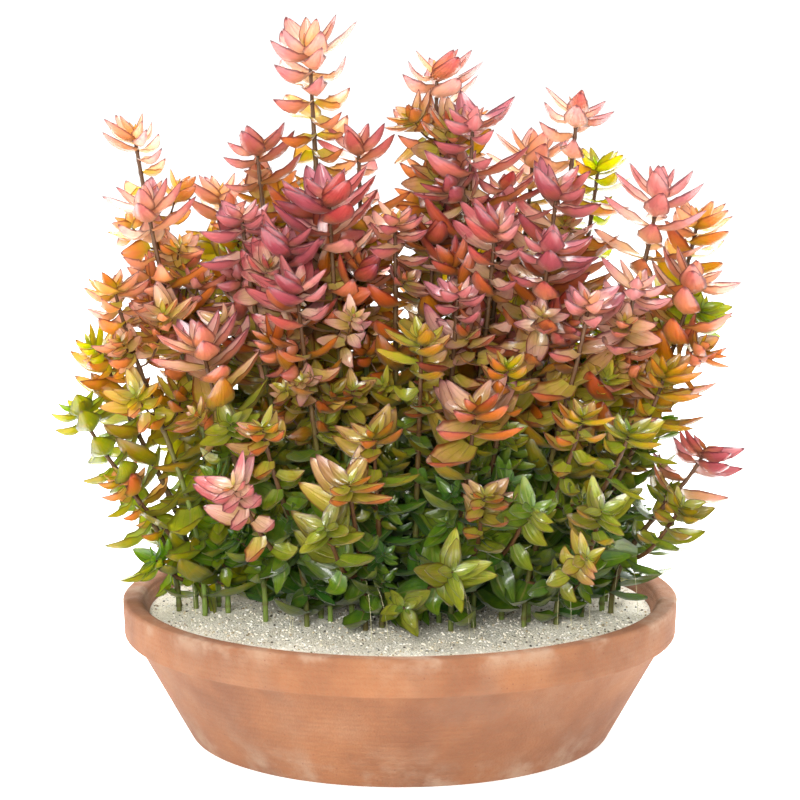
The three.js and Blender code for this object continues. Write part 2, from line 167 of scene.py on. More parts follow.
class Wiring:
    """Short ways to add and join the nodes of one node tree."""

    def __init__(self, tree: bpy.types.NodeTree) -> None:
        """Empties the tree and keeps it."""
        self.tree = tree
        self.tree.nodes.clear()

    def add(self, kind: str, **settings: object) -> bpy.types.Node:
        """Adds a node.

        Args:
            kind: Blender's name for the kind of node, without ShaderNode.
            settings: Properties of the node to set.

        Returns:
            The new node.
        """
        node = self.tree.nodes.new(kind if kind.startswith("NodeGroup") else f"ShaderNode{kind}")
        for name, value in settings.items():
            setattr(node, name, value)
        return node

    def feed(self, socket: bpy.types.NodeSocket, value: object) -> None:
        """Links an output to an input, or sets the input to a plain value.

        Args:
            socket: The input.
            value: An output socket, a number or a colour.
        """
        if isinstance(value, bpy.types.NodeSocket):
            self.tree.links.new(value, socket)
        else:
            socket.default_value = value

    def maths(self, operation: str, *values: object) -> bpy.types.NodeSocket:
        """Adds a Math node.

        Args:
            operation: Blender's name for the operation.
            values: Numbers or outputs for its inputs.

        Returns:
            The result's output.
        """
        node = self.add("Math", operation=operation)
        for socket, value in zip(node.inputs, values):
            self.feed(socket, value)
        return node.outputs[0]

    def times(self, first: object, second: object) -> bpy.types.NodeSocket:
        """Multiplies two numbers."""
        return self.maths("MULTIPLY", first, second)

    def sloped(self, value: object, slope: object, base: object) -> bpy.types.NodeSocket:
        """Multiplies a number by a slope and adds a base."""
        return self.maths("MULTIPLY_ADD", value, slope, base)

    def eased(self, value: object, low: float, high: float) -> bpy.types.NodeSocket:
        """Adds a smooth step from 0 at low to 1 at high.

        Args:
            value: The output to place.
            low: Value that gives 0.
            high: Value that gives 1.

        Returns:
            The step's output.
        """
        node = self.add("MapRange", interpolation_type="SMOOTHSTEP")
        self.feed(node.inputs["Value"], value)
        node.inputs["From Min"].default_value = low
        node.inputs["From Max"].default_value = high
        return node.outputs["Result"]

    def blend(self, factor: object, first: object, second: object) -> bpy.types.NodeSocket:
        """Mixes two colours.

        Args:
            factor: Share of the second colour.
            first: A screen colour code or an output.
            second: A screen colour code or an output.

        Returns:
            The mixed colour's output.
        """
        node = self.add("Mix", data_type="RGBA")
        for index, value in ((0, factor), (6, first), (7, second)):
            self.feed(node.inputs[index], linear(value) if isinstance(value, int) else value)
        return node.outputs[2]

    def ramp(self, factor: object, colours: Ramp) -> bpy.types.NodeSocket:
        """Adds a colour ramp.

        Args:
            factor: The output that picks the place on the ramp.
            colours: The colours.

        Returns:
            The colour's output.
        """
        node = self.add("ValToRGB")
        elements = node.color_ramp.elements
        while len(elements) < len(colours.codes):
            elements.new(1.0)
        for element, place, code in zip(elements, colours.places, colours.codes):
            element.position = place
            element.color = linear(code)
        self.feed(node.inputs["Fac"], factor)
        return node.outputs["Color"]

    def attribute(self, name: str) -> bpy.types.NodeSocket:
        """Reads a number that the mesh stores at its points."""
        return self.add("Attribute", attribute_name=name).outputs["Fac"]

    def group(self, tree: bpy.types.NodeTree, **values: object) -> bpy.types.Node:
        """Places a node group.

        Args:
            tree: The group's node tree.
            values: Inputs to feed, by name with underscores for blanks.

        Returns:
            The group's node.
        """
        node = self.add("Group", node_tree=tree)
        for name, value in values.items():
            self.feed(node.inputs[name.replace("_", " ")], value)
        return node

    def bumped(self, height: object, strength: float, distance: float) -> bpy.types.NodeSocket:
        """Turns a height into a normal.

        Args:
            height: The height's output.
            strength: How much of the bump shows.
            distance: Depth of the relief in metres.

        Returns:
            The normal's output.
        """
        node = self.add("Bump")
        node.inputs["Strength"].default_value = strength
        node.inputs["Distance"].default_value = distance
        self.feed(node.inputs["Height"], height)
        return node.outputs["Normal"]


class SharedEffects:
    """The node groups that several finishes use."""

    def __init__(self) -> None:
        """Builds each group once."""
        self.mottle = self.build_mottle()
        self.specks = self.build_specks()

    @staticmethod
    def start(name: str, inputs: dict[str, float], output: str) -> tuple[bpy.types.NodeTree, Wiring]:
        """Begins a group with a Vector input, some numbers and one output.

        Args:
            name: The group's name.
            inputs: Names of its number inputs, with their default values.
            output: Name of its output, a number.

        Returns:
            The tree, and the wiring that fills it.
        """
        tree = bpy.data.node_groups.new(name, "ShaderNodeTree")
        tree.interface.new_socket("Vector", in_out="INPUT", socket_type="NodeSocketVector")
        for label, value in inputs.items():
            socket = tree.interface.new_socket(label, in_out="INPUT", socket_type="NodeSocketFloat")
            socket.default_value = value
        tree.interface.new_socket(output, in_out="OUTPUT", socket_type="NodeSocketFloat")
        return tree, Wiring(tree)

    def build_mottle(self) -> bpy.types.NodeTree:
        """Builds soft, cloudy patches.

        Returns:
            The group, with inputs Vector, Scale, Low and High and an output Mask.
        """
        tree, wiring = self.start("mottle", {"Scale": 60.0, "Low": 0.35, "High": 0.65}, "Mask")
        given = wiring.add("NodeGroupInput")
        cloud = wiring.add("TexNoise")
        cloud.inputs["Detail"].default_value = 4.0
        cloud.inputs["Roughness"].default_value = 0.6
        wiring.feed(cloud.inputs["Vector"], given.outputs["Vector"])
        wiring.feed(cloud.inputs["Scale"], given.outputs["Scale"])
        step = wiring.add("MapRange", interpolation_type="SMOOTHSTEP")
        wiring.feed(step.inputs["Value"], cloud.outputs["Fac"])
        wiring.feed(step.inputs["From Min"], given.outputs["Low"])
        wiring.feed(step.inputs["From Max"], given.outputs["High"])
        out = wiring.add("NodeGroupOutput")
        wiring.feed(out.inputs["Mask"], step.outputs["Result"])
        return tree

    def build_specks(self) -> bpy.types.NodeTree:
        """Builds small separate specks, one in some cells of a cellular pattern.

        Returns:
            The group, with inputs Vector, Scale, Share and Radius and an output Mask.
        """
        tree, wiring = self.start("specks", {"Scale": 800.0, "Share": 0.2, "Radius": 0.35}, "Mask")
        given = wiring.add("NodeGroupInput")
        cells = wiring.add("TexVoronoi")
        wiring.feed(cells.inputs["Vector"], given.outputs["Vector"])
        wiring.feed(cells.inputs["Scale"], given.outputs["Scale"])
        parts = wiring.add("SeparateColor")
        wiring.feed(parts.inputs[0], cells.outputs["Color"])
        chosen = wiring.maths("LESS_THAN", parts.outputs[0], given.outputs["Share"])
        near = wiring.maths("LESS_THAN", cells.outputs["Distance"], given.outputs["Radius"])
        out = wiring.add("NodeGroupOutput")
        wiring.feed(out.inputs["Mask"], wiring.maths("MULTIPLY", chosen, near))
        return tree


class Coat(Wiring):
    """The nodes of one material, with the shared effects at hand."""

    def __init__(self, name: str, effects: SharedEffects) -> None:
        """Starts an empty material that reads Object coordinates.

        Args:
            name: The material's name.
            effects: The shared node groups.
        """
        self.material = bpy.data.materials.new(name)
        self.material.use_nodes = True
        super().__init__(self.material.node_tree)
        self.effects = effects
        self.place = self.add("TexCoord").outputs["Object"]

    def mottled(self, scale: float, low: float = 0.3, high: float = 0.7) -> bpy.types.NodeSocket:
        """Places the shared cloudy patches.

        Args:
            scale: How fine they are: about this many to the metre.
            low: Noise at which a patch begins.
            high: Noise at which it is full.

        Returns:
            The mask's output.
        """
        node = self.group(self.effects.mottle, Vector=self.place, Scale=scale, Low=low, High=high)
        return node.outputs["Mask"]

    def specked(self, scale: float, share: float, radius: float) -> bpy.types.NodeSocket:
        """Places the shared specks.

        Args:
            scale: How fine their cells are: about this many to the metre.
            share: Share of the cells that hold a speck.
            radius: A speck's radius, as a share of its cell.

        Returns:
            The mask's output.
        """
        node = self.group(self.effects.specks, Vector=self.place, Scale=scale, Share=share, Radius=radius)
        return node.outputs["Mask"]

    def tinted(self, colour: object, mask: object, share: float, tint: object) -> bpy.types.NodeSocket:
        """Lays a tint over a colour.

        Args:
            colour: The colour so far.
            mask: Where the tint goes.
            share: How much of the tint shows where the mask is 1.
            tint: The tint.

        Returns:
            The tinted colour's output.
        """
        return self.blend(self.times(mask, share), colour, tint)

    def shifted(self, colour: object, **changes: object) -> bpy.types.NodeSocket:
        """Shifts a colour.

        Args:
            colour: The colour.
            changes: The Hue, Saturation or Value to shift it by.

        Returns:
            The shifted colour's output.
        """
        node = self.add("HueSaturation")
        for name, value in {"Color": colour, **changes}.items():
            self.feed(node.inputs[name], value)
        return node.outputs["Color"]

    def gloss(self, colour: object, roughness: object, normal: object = None) -> bpy.types.Node:
        """Adds the surface itself.

        Args:
            colour: Its colour.
            roughness: Its roughness.
            normal: Its normal, where it has relief.

        Returns:
            The surface's node.
        """
        node = self.add("BsdfPrincipled")
        self.feed(node.inputs["Base Color"], colour)
        self.feed(node.inputs["Roughness"], roughness)
        if normal is not None:
            self.feed(node.inputs["Normal"], normal)
        return node

    def finish(self, shader: bpy.types.Node) -> bpy.types.Material:
        """Leads a shader to the output, and gives the material."""
        self.feed(self.add("OutputMaterial").inputs["Surface"], shader.outputs[0])
        return self.material


@dataclass(frozen=True)
class LeafMarks:
    """Masks of the marks on a leaf, and the colour of its rim and veins."""

    margin: bpy.types.NodeSocket
    midrib: bpy.types.NodeSocket
    veins: bpy.types.NodeSocket
    rim: bpy.types.NodeSocket


@dataclass(frozen=True)
class LeafFinish:
    """Thin living leaves: green to rose above, redder below, darker at the margin, lit through, with painted
    light that makes leaves at the open sides paler and brighter and painted shade that darkens those low at
    the front.
    """

    roughness: float = 0.32
    roughness_spread: float = 0.16
    mottle_scale: float = 260.0
    mottle_shift: float = 0.1
    tip_blush: float = 0.44
    blush_start: float = 0.42
    # Where each effect begins and where it is full
    blushing_warmth: tuple[float, float] = (0.3, 0.65)
    # Warmth from which leaves at the open sides are painted paler, as washed out by light
    painted_pale_warmth: tuple[float, float] = (0.42, 0.85)
    # Warmth from which older leaves are painted lighter, as fill light in the clump's shade
    painted_fill_warmth: tuple[float, float] = (0.25, 0.5)
    margin_across: tuple[float, float] = (0.76, 0.95)
    margin_along: tuple[float, float] = (0.91, 0.98)
    midrib_across: tuple[float, float] = (0.02, 0.12)
    under_side: tuple[float, float] = (0.49, 0.51)
    vein_crest: tuple[float, float] = (0.72, 1.0)
    vein_spacing: float = 17.0
    vein_bow: float = 3.0
    # Slope and base of what the leaf's own numbers change
    blush: tuple[float, float] = (0.8, 0.2)
    hue: tuple[float, float] = (0.012, 0.5)
    # Painted light and shade: saturation, value and the lit-through colour below follow glow, so open-side
    # leaves are painted paler and brighter and shaded ones darker
    saturation: tuple[float, float] = (-0.5, 1.12)
    value_with_painted_light: tuple[float, float] = (0.56, 0.72)
    through_saturation: tuple[float, float] = (-0.8, 1.28)
    through_brightness: tuple[float, float] = (0.2, 0.95)
    lit_through: tuple[float, float] = (0.38, 0.28)
    # Painted fill light: older warm leaves, low in the clump's shade, are painted lighter
    older_leaf_painted_fill: float = 0.12
    tone_brightness: float = 0.16
    # How much of each mark shows, and how far it stands out
    midrib_share: float = 0.35
    vein_share: float = 0.1
    margin_share: float = 0.92
    margin_share_through: float = 0.6
    vein_relief: float = 0.5
    mottle_relief: float = 0.35
    bump: tuple[float, float] = (0.8, 0.0006)
    film: tuple[tuple[str, float], ...] = (
        ("Coat Weight", 1.0),
        ("Coat Roughness", 0.19),
        ("Coat IOR", 1.62),
        ("Sheen Weight", 0.1),
        ("Sheen Roughness", 0.4),
    )
    midrib_colour: int = 0xE8C887
    # Colours by warmth, from green to pink red: above, below, lit through and at the margin
    shown_colours: Ramp = Ramp(
        WARMTHS,
        (0x466E2E, 0x769034, 0xAAAC4A, 0xC4B058, 0xD6B276, 0xE8BCA0, 0xE8AA9E, 0xD87C84),
    )
    lower_colours: Ramp = Ramp(
        WARMTHS,
        (0x506E30, 0x767C2E, 0x9C7C2E, 0xA8682C, 0xB05C32, 0xB85A40, 0xB6564C, 0xAE4C52),
    )
    through_colours: Ramp = Ramp(
        WARMTHS,
        (0x7CB048, 0xB6D05C, 0xDADC70, 0xE8D48A, 0xF0CE9E, 0xF2D0B2, 0xF0C6B6, 0xE8B2AA),
    )
    rim_colours: Ramp = Ramp(
        (0.0, 0.3, 0.5, 0.78, 1.0),
        (0x365A22, 0x6E6A28, 0x7A4224, 0x722622, 0x641C28),
    )

    def material(self, effects: SharedEffects) -> bpy.types.Material:
        """Builds the leaf material.

        Args:
            effects: The shared node groups.

        Returns:
            The material. It reads the UV map blade, the number below and the points' numbers.
        """
        coat = Coat("bacopa_leaf", effects)
        blade = coat.add("SeparateXYZ")
        coat.feed(blade.inputs[0], coat.add("UVMap", uv_map="blade").outputs["UV"])
        off_middle = coat.maths("ABSOLUTE", coat.sloped(blade.outputs[0], 2.0, -1.0))
        along = blade.outputs[1]
        mottle = coat.mottled(self.mottle_scale)
        local = self.local_warmth(coat, along, mottle)
        marks = self.marks(coat, off_middle, along, local)
        # Painted light and shade: glow makes the shown and lit-through colours paler and brighter at the
        # open sides and darker low at the front
        glow = coat.attribute("glow")
        pale = coat.times(glow, coat.eased(coat.attribute("warmth"), *self.painted_pale_warmth))
        shown = self.weathered(coat, self.painted(coat, local, marks), pale)
        gloss = self.glossy(coat, shown, mottle, marks)
        light = coat.add("BsdfTranslucent")
        coat.feed(light.inputs["Color"], self.lit_colour(coat, local, marks, pale))
        both = coat.add("MixShader")
        shares = (coat.sloped(glow, *self.lit_through), gloss.outputs[0], light.outputs[0])
        for socket, value in zip(both.inputs, shares):
            coat.feed(socket, value)
        return coat.finish(both)

    def marks(self, coat: Coat, off_middle: object, along: object, local: object) -> LeafMarks:
        """Draws the midrib, the margin, and veins that bow out from the base towards the margin.

        Args:
            coat: The material's nodes.
            off_middle: Output that is 0 at the midrib and 1 at the margin.
            along: Output that is 0 at the base and 1 at the tip.
            local: The local warmth.

        Returns:
            The marks.
        """
        edge = coat.eased(off_middle, *self.margin_across)
        middle = coat.maths("SUBTRACT", 1.0, coat.eased(off_middle, *self.midrib_across))
        bowed = coat.sloped(along, self.vein_bow, coat.times(off_middle, self.vein_spacing))
        return LeafMarks(
            margin=coat.maths("MAXIMUM", edge, coat.eased(along, *self.margin_along)),
            midrib=coat.times(middle, coat.maths("SUBTRACT", 1.0, along)),
            veins=coat.eased(coat.maths("COSINE", bowed), *self.vein_crest),
            rim=coat.ramp(local, self.rim_colours),
        )

    def painted(self, coat: Coat, local: object, marks: LeafMarks) -> bpy.types.NodeSocket:
        """Colours the upper and the lower side, and lays the marks over them.

        Args:
            coat: The material's nodes.
            local: The local warmth.
            marks: The leaf's marks.

        Returns:
            The colour's output.
        """
        shown = coat.ramp(local, self.shown_colours)
        shown = coat.tinted(shown, marks.midrib, self.midrib_share, self.midrib_colour)
        shown = coat.tinted(shown, marks.veins, self.vein_share, marks.rim)
        below = coat.eased(coat.attribute("below"), *self.under_side)
        shown = coat.blend(below, shown, coat.ramp(local, self.lower_colours))
        return coat.tinted(shown, marks.margin, self.margin_share, marks.rim)

    def lit_colour(self, coat: Coat, local: object, marks: LeafMarks, pale: object) -> bpy.types.NodeSocket:
        """Colours the light that comes through the leaf.

        Args:
            coat: The material's nodes.
            local: The local warmth.
            marks: The leaf's marks.
            pale: Output that is 1 on warm leaves at the open sides, which paints them paler, as washed out
                by light.

        Returns:
            The colour's output.
        """
        # Painted light: the lit-through colour is paler and brighter where glow is high
        through = coat.shifted(
            coat.ramp(local, self.through_colours),
            Saturation=coat.sloped(pale, *self.through_saturation),
            Value=coat.sloped(coat.attribute("glow"), *self.through_brightness),
        )
        return coat.tinted(through, marks.margin, self.margin_share_through, marks.rim)

    def glossy(self, coat: Coat, shown: object, mottle: object, marks: LeafMarks) -> bpy.types.Node:
        """Builds the leaf's own surface, with its relief and its waxy film.

        Args:
            coat: The material's nodes.
            shown: The surface's colour.
            mottle: Mask of the cloudy patches.
            marks: The leaf's marks.

        Returns:
            The surface's node.
        """
        relief = coat.maths("ADD", coat.times(marks.veins, self.vein_relief), marks.midrib)
        relief = coat.sloped(mottle, self.mottle_relief, relief)
        roughness = coat.sloped(mottle, self.roughness_spread, self.roughness)
        gloss = coat.gloss(shown, roughness, coat.bumped(relief, *self.bump))
        for name, value in self.film:
            gloss.inputs[name].default_value = value
        return gloss

    def local_warmth(self, coat: Coat, along: object, mottle: object) -> bpy.types.NodeSocket:
        """Spreads the leaf's warmth over its blade: more at the tip, and a little uneven.

        Args:
            coat: The material's nodes.
            along: Output that is 0 at the base and 1 at the tip.
            mottle: Mask of the cloudy patches.

        Returns:
            The local warmth's output.
        """
        warmth = coat.attribute("warmth")
        blushing = coat.sloped(coat.eased(warmth, *self.blushing_warmth), *self.blush)
        tipwards = coat.times(coat.maths("SUBTRACT", along, self.blush_start), self.tip_blush)
        tipwards = coat.times(tipwards, blushing)
        clouds = coat.times(coat.maths("SUBTRACT", mottle, 0.5), self.mottle_shift)
        return coat.maths("ADD", coat.maths("ADD", warmth, tipwards), clouds)

    def weathered(self, coat: Coat, colour: object, pale: object) -> bpy.types.NodeSocket:
        """Shifts the shown colour by how open, how old and which of its kind the leaf is. Openness paints
        light and shade: open-side leaves are painted paler and brighter and shaded ones darker, and older
        warm leaves are painted lighter as fill light.

        Args:
            coat: The material's nodes.
            colour: The colour so far.
            pale: Output that is 1 on warm leaves at the open sides, which paints them paler, as washed out
                by light.

        Returns:
            The shifted colour's output.
        """
        tone = coat.attribute("tone")
        warm = coat.eased(coat.attribute("warmth"), *self.painted_fill_warmth)
        # Painted light and shade: the value rises with glow
        value_with_painted_light = coat.sloped(coat.attribute("glow"), *self.value_with_painted_light)
        # Painted fill light: older warm leaves are painted lighter
        value_with_painted_light = coat.sloped(coat.times(coat.attribute("age"), warm), self.older_leaf_painted_fill, value_with_painted_light)
        return coat.shifted(
            colour,
            Hue=coat.sloped(tone, *self.hue),
            Saturation=coat.sloped(pale, *self.saturation),
            Value=coat.sloped(tone, self.tone_brightness, value_with_painted_light),
        )


@dataclass(frozen=True)
class StemFinish:
    """Smooth stems: brown at the tip and green at the foot, darker at the nodes."""

    roughness: float = 0.5
    roughness_spread: float = 0.15
    streaks: tuple[float, float, float] = (1.0, 1.0, 0.12)
    colours: Ramp = Ramp((0.0, 0.3, 0.6, 1.0), (0x563410, 0x584012, 0x5A6020, 0x6E8832))
    grain_colour: int = 0x38260C
    node_colour: int = 0x44200E

    def material(self, effects: SharedEffects) -> bpy.types.Material:
        """Builds the stem material.

        Args:
            effects: The shared node groups.

        Returns:
            The material. It reads the numbers age and tone.
        """
        coat = Coat("bacopa_stem", effects)
        stretched = coat.add("Mapping")
        stretched.inputs["Scale"].default_value = self.streaks
        coat.feed(stretched.inputs["Vector"], coat.place)
        coat.place = stretched.outputs[0]
        grain = coat.mottled(1400.0)
        colour = coat.ramp(coat.attribute("age"), self.colours)
        colour = coat.tinted(colour, grain, 0.35, self.grain_colour)
        colour = coat.tinted(colour, coat.attribute("tone"), 0.6, self.node_colour)
        roughness = coat.sloped(grain, self.roughness_spread, self.roughness)
        return coat.finish(coat.gloss(colour, roughness, coat.bumped(grain, 0.3, 0.0003)))


@dataclass(frozen=True)
class RootFinish:
    """Pale threads that some shoots send down to the sand."""

    light: int = 0xD8D2A6
    dark: int = 0x9A9860
    roughness: float = 0.6

    def material(self, effects: SharedEffects) -> bpy.types.Material:
        """Builds the root material.

        Args:
            effects: The shared node groups.

        Returns:
            The material.
        """
        coat = Coat("bacopa_root", effects)
        colour = coat.blend(coat.mottled(300.0), self.light, self.dark)
        return coat.finish(coat.gloss(colour, self.roughness))


@dataclass(frozen=True)
class SandFinish:
    """Washed cream sand with brown, grey and black specks."""

    light: int = 0xFCF7E8
    dark: int = 0xEFE5CC
    grain_colour: int = 0xBFB59A
    roughness: float = 0.7
    # Fineness, share of cells, radius and colour of each kind of speck
    specks: tuple[tuple[float, float, float, int], ...] = (
        (900.0, 0.16, 0.34, 0x8B7B58),
        (760.0, 0.08, 0.32, 0x4F4738),
        (620.0, 0.03, 0.36, 0x23201C),
        (1000.0, 0.14, 0.38, 0xFAF7EE),
    )

    def material(self, effects: SharedEffects) -> bpy.types.Material:
        """Builds the sand material.

        Args:
            effects: The shared node groups.

        Returns:
            The material.
        """
        coat = Coat("washed_sand", effects)
        grain = coat.mottled(900.0, 0.35, 0.65)
        colour = coat.tinted(self.light, coat.mottled(70.0, 0.35), 0.5, self.dark)
        colour = coat.tinted(colour, grain, 0.4, self.grain_colour)
        for scale, share, radius, code in self.specks:
            colour = coat.blend(coat.specked(scale, share, radius), colour, code)
        roughness = coat.sloped(grain, 0.2, self.roughness)
        return coat.finish(coat.gloss(colour, roughness, coat.bumped(grain, 0.7, 0.0006)))


@dataclass(frozen=True)
class GrainFinish:
    """Single grains of sand, from black and brown to cream and clear grey."""

    roughness: float = 0.45
    colours: Ramp = Ramp(
        (0.0, 0.08, 0.13, 0.2, 0.34, 0.75, 1.0),
        (0x1E1B18, 0x2E2822, 0x7A6A4C, 0xB8A680, 0xE6DEC8, 0xF4EFE2, 0xD6D6D0),
    )
    cloud_colour: int = 0x9B8C6C

    def material(self, effects: SharedEffects) -> bpy.types.Material:
        """Builds the material of the loose grains.

        Args:
            effects: The shared node groups.

        Returns:
            The material. It reads the number tone, which is different for each grain.
        """
        coat = Coat("sand_grain", effects)
        cloud = coat.mottled(1500.0)
        colour = coat.tinted(coat.ramp(coat.attribute("tone"), self.colours), cloud, 0.25, self.cloud_colour)
        return coat.finish(coat.gloss(colour, coat.sloped(cloud, 0.25, self.roughness)))


@dataclass(frozen=True)
class ClayFinish:
    """Plain unglazed clay: mottled, with throwing lines, pits and a pale bloom."""

    light: int = 0x8E5E3A
    dark: int = 0x70462A
    bloom: int = 0xA68E78
    grain_colour: int = 0x8F4E34
    pit_colour: int = 0x6E3B28
    roughness: float = 0.78
    # Heights in metres between which the bloom fades out near the foot and comes in at the rim
    foot_bloom: tuple[float, float] = (0.0, 0.022)
    rim_bloom: tuple[float, float] = (0.053, 0.063)
    throwing_lines: float = 2600.0

    def material(self, effects: SharedEffects) -> bpy.types.Material:
        """Builds the clay material.

        Args:
            effects: The shared node groups.

        Returns:
            The material.
        """
        coat = Coat("fired_clay", effects)
        axes = coat.add("SeparateXYZ")
        coat.feed(axes.inputs[0], coat.place)
        height = axes.outputs[2]
        patches = coat.mottled(22.0)
        grain = coat.mottled(1100.0, 0.35, 0.65)
        pits = coat.specked(420.0, 0.12, 0.16)
        colour = coat.blend(patches, self.light, self.dark)
        colour = coat.tinted(colour, grain, 0.22, self.grain_colour)
        low = coat.maths("SUBTRACT", 1.0, coat.eased(height, *self.foot_bloom))
        high = coat.eased(height, *self.rim_bloom)
        cloud = coat.mottled(48.0, 0.42, 0.68)
        bloom = coat.times(cloud, coat.maths("MAXIMUM", low, high))
        bloom = coat.sloped(bloom, 0.5, coat.times(cloud, 0.1))
        colour = coat.blend(bloom, colour, self.bloom)
        colour = coat.tinted(colour, pits, 0.6, self.pit_colour)
        rings = coat.maths("SINE", coat.sloped(height, self.throwing_lines, coat.times(patches, 2.0)))
        relief = coat.sloped(rings, 0.25, coat.times(grain, 0.5))
        relief = coat.maths("SUBTRACT", relief, pits)
        roughness = coat.sloped(grain, 0.12, self.roughness)
        return coat.finish(coat.gloss(colour, roughness, coat.bumped(relief, 0.45, 0.0005)))


@dataclass(frozen=True)
class FloorFinish:
    """A plain pale floor that glows a little, so that it fades into the white behind it."""

    light: int = 0xF7F7F5
    dark: int = 0xF2F2F0
    roughness: float = 0.9
    glow: float = 0.56

    def material(self, effects: SharedEffects) -> bpy.types.Material:
        """Builds the floor material.

        Args:
            effects: The shared node groups.

        Returns:
            The material.
        """
        coat = Coat("pale_floor", effects)
        gloss = coat.gloss(coat.blend(coat.mottled(6.0), self.light, self.dark), self.roughness)
        gloss.inputs["Emission Color"].default_value = linear(0xFFFFFF)
        gloss.inputs["Emission Strength"].default_value = self.glow
        return coat.finish(gloss)


class Part(Enum):
    """The materials of a leafy shoot, in the order of its slots."""

    LEAF = 0
    STEM = 1
    ROOT = 2


@dataclass(frozen=True)
class StemFrame:
    """A place on a stem: its middle, its direction and its two cross directions."""

    middle: Vector
    along: Vector
    across: Vector
    over: Vector

    def outward(self, side: int) -> Vector:
        """Gives the direction that one of the stem's four sides faces."""
        return (-self.over, self.across, self.over, -self.across)[side]

    def matrix(self, radius: float) -> Matrix:
        """Gives the transform that takes a flat unit ring to this place.

        Args:
            radius: The ring's radius there.

        Returns:
            A matrix with the stem's direction as its Z axis.
        """
        turn = Matrix((self.across, self.over, self.along)).transposed().to_4x4()
        return Matrix.Translation(self.middle) @ turn @ Matrix.Diagonal((radius, radius, 1.0, 1.0))


@dataclass
class Habit:
    """How this bacopa grows. Its stems follow the rules of the solids' stems."""

    sand_top: float = 56.0
    stem_width: float = 2.2
    foot_share_x: float = 0.7
    foot_share_y: float = 0.6
    rise_share: float = 0.38
    crown_share: float = 0.32
    tip_lean: float = 0.8
    crown_step: float = 1.05
    crown_pairs: int = 4
    first_gap: float = 3.0
    widening: float = 1.3
    longest_gap: float = 7.4
    band: float = 2.2
    # How far a leaf's base is from the stem's middle, as a share of the stem's width
    stem_share: float = 0.3
    # Number of pairs over which a leaf grows old
    aging_pairs: float = 9.0
    seed_steps: tuple[int, int] = (31, 4)
    # A grown leaf's value, what a young one has on top, and how many pairs that takes to fade
    pitch: tuple[float, float, float] = (12.0, 66.0, 3.3)
    curl: tuple[float, float, float] = (40.0, -15.0, 1.6)
    size: tuple[float, float, float] = (1.5, -1.14, 2.6)
    # Share of a crown's steepness: the usual one, how shoots differ, and what a low crown lacks
    crown_steepness: tuple[float, float, float] = (0.82, 0.2, 0.32)
    # How far leaves differ from each other, and how that grows with age
    yaw_spread: float = 14.0
    pitch_spread: float = 9.0
    untidiness: float = 1.3
    curl_spread: tuple[float, float] = (9.0, 12.0)
    size_spread: tuple[float, float] = (0.1, 0.1)
    width_spread: float = 0.12
    twist_spread: float = 26.0
    sway_spread: float = 0.12
    warmth_spread: float = 0.07
    half_width: float = 0.215
    wave: float = 0.14
    # How much greener the youngest leaves of a crown are
    green_bud: float = 0.3

    def stations(self, length: float) -> list[float]:
        """Spaces the pairs of leaves down a stem.

        Args:
            length: The stem's length.

        Returns:
            Each pair's distance below the tip.
        """
        found = []
        station = 0.0
        pair = 0
        while station < length:
            found.append(station)
            wide = self.first_gap + self.widening * (pair - self.crown_pairs)
            gap = self.crown_step if pair < self.crown_pairs else wide
            station += min(gap, self.longest_gap)
            pair += 1
        return found

    @staticmethod
    def aged(values: tuple[float, float, float], pair: int) -> float:
        """Gives a value that fades from a young leaf's to a grown leaf's, going down the stem."""
        return values[0] + values[1] * math.exp(-pair / values[2])

    @staticmethod
    def spread_at(values: tuple[float, float], age: float) -> float:
        """Gives a spread that grows with a leaf's age."""
        return values[0] + values[1] * age

    def seed(self, number: int, pair: int, side: int) -> int:
        """Gives the place in the run of chances of one leaf of a shoot."""
        return self.seed_steps[0] * number + self.seed_steps[1] * pair + side

    def foot_under(self, tip: Vector) -> Vector:
        """Gives the place on the sand where the stem of that tip stands."""
        return Vector((tip.x * self.foot_share_x, tip.y * self.foot_share_y, self.sand_top))


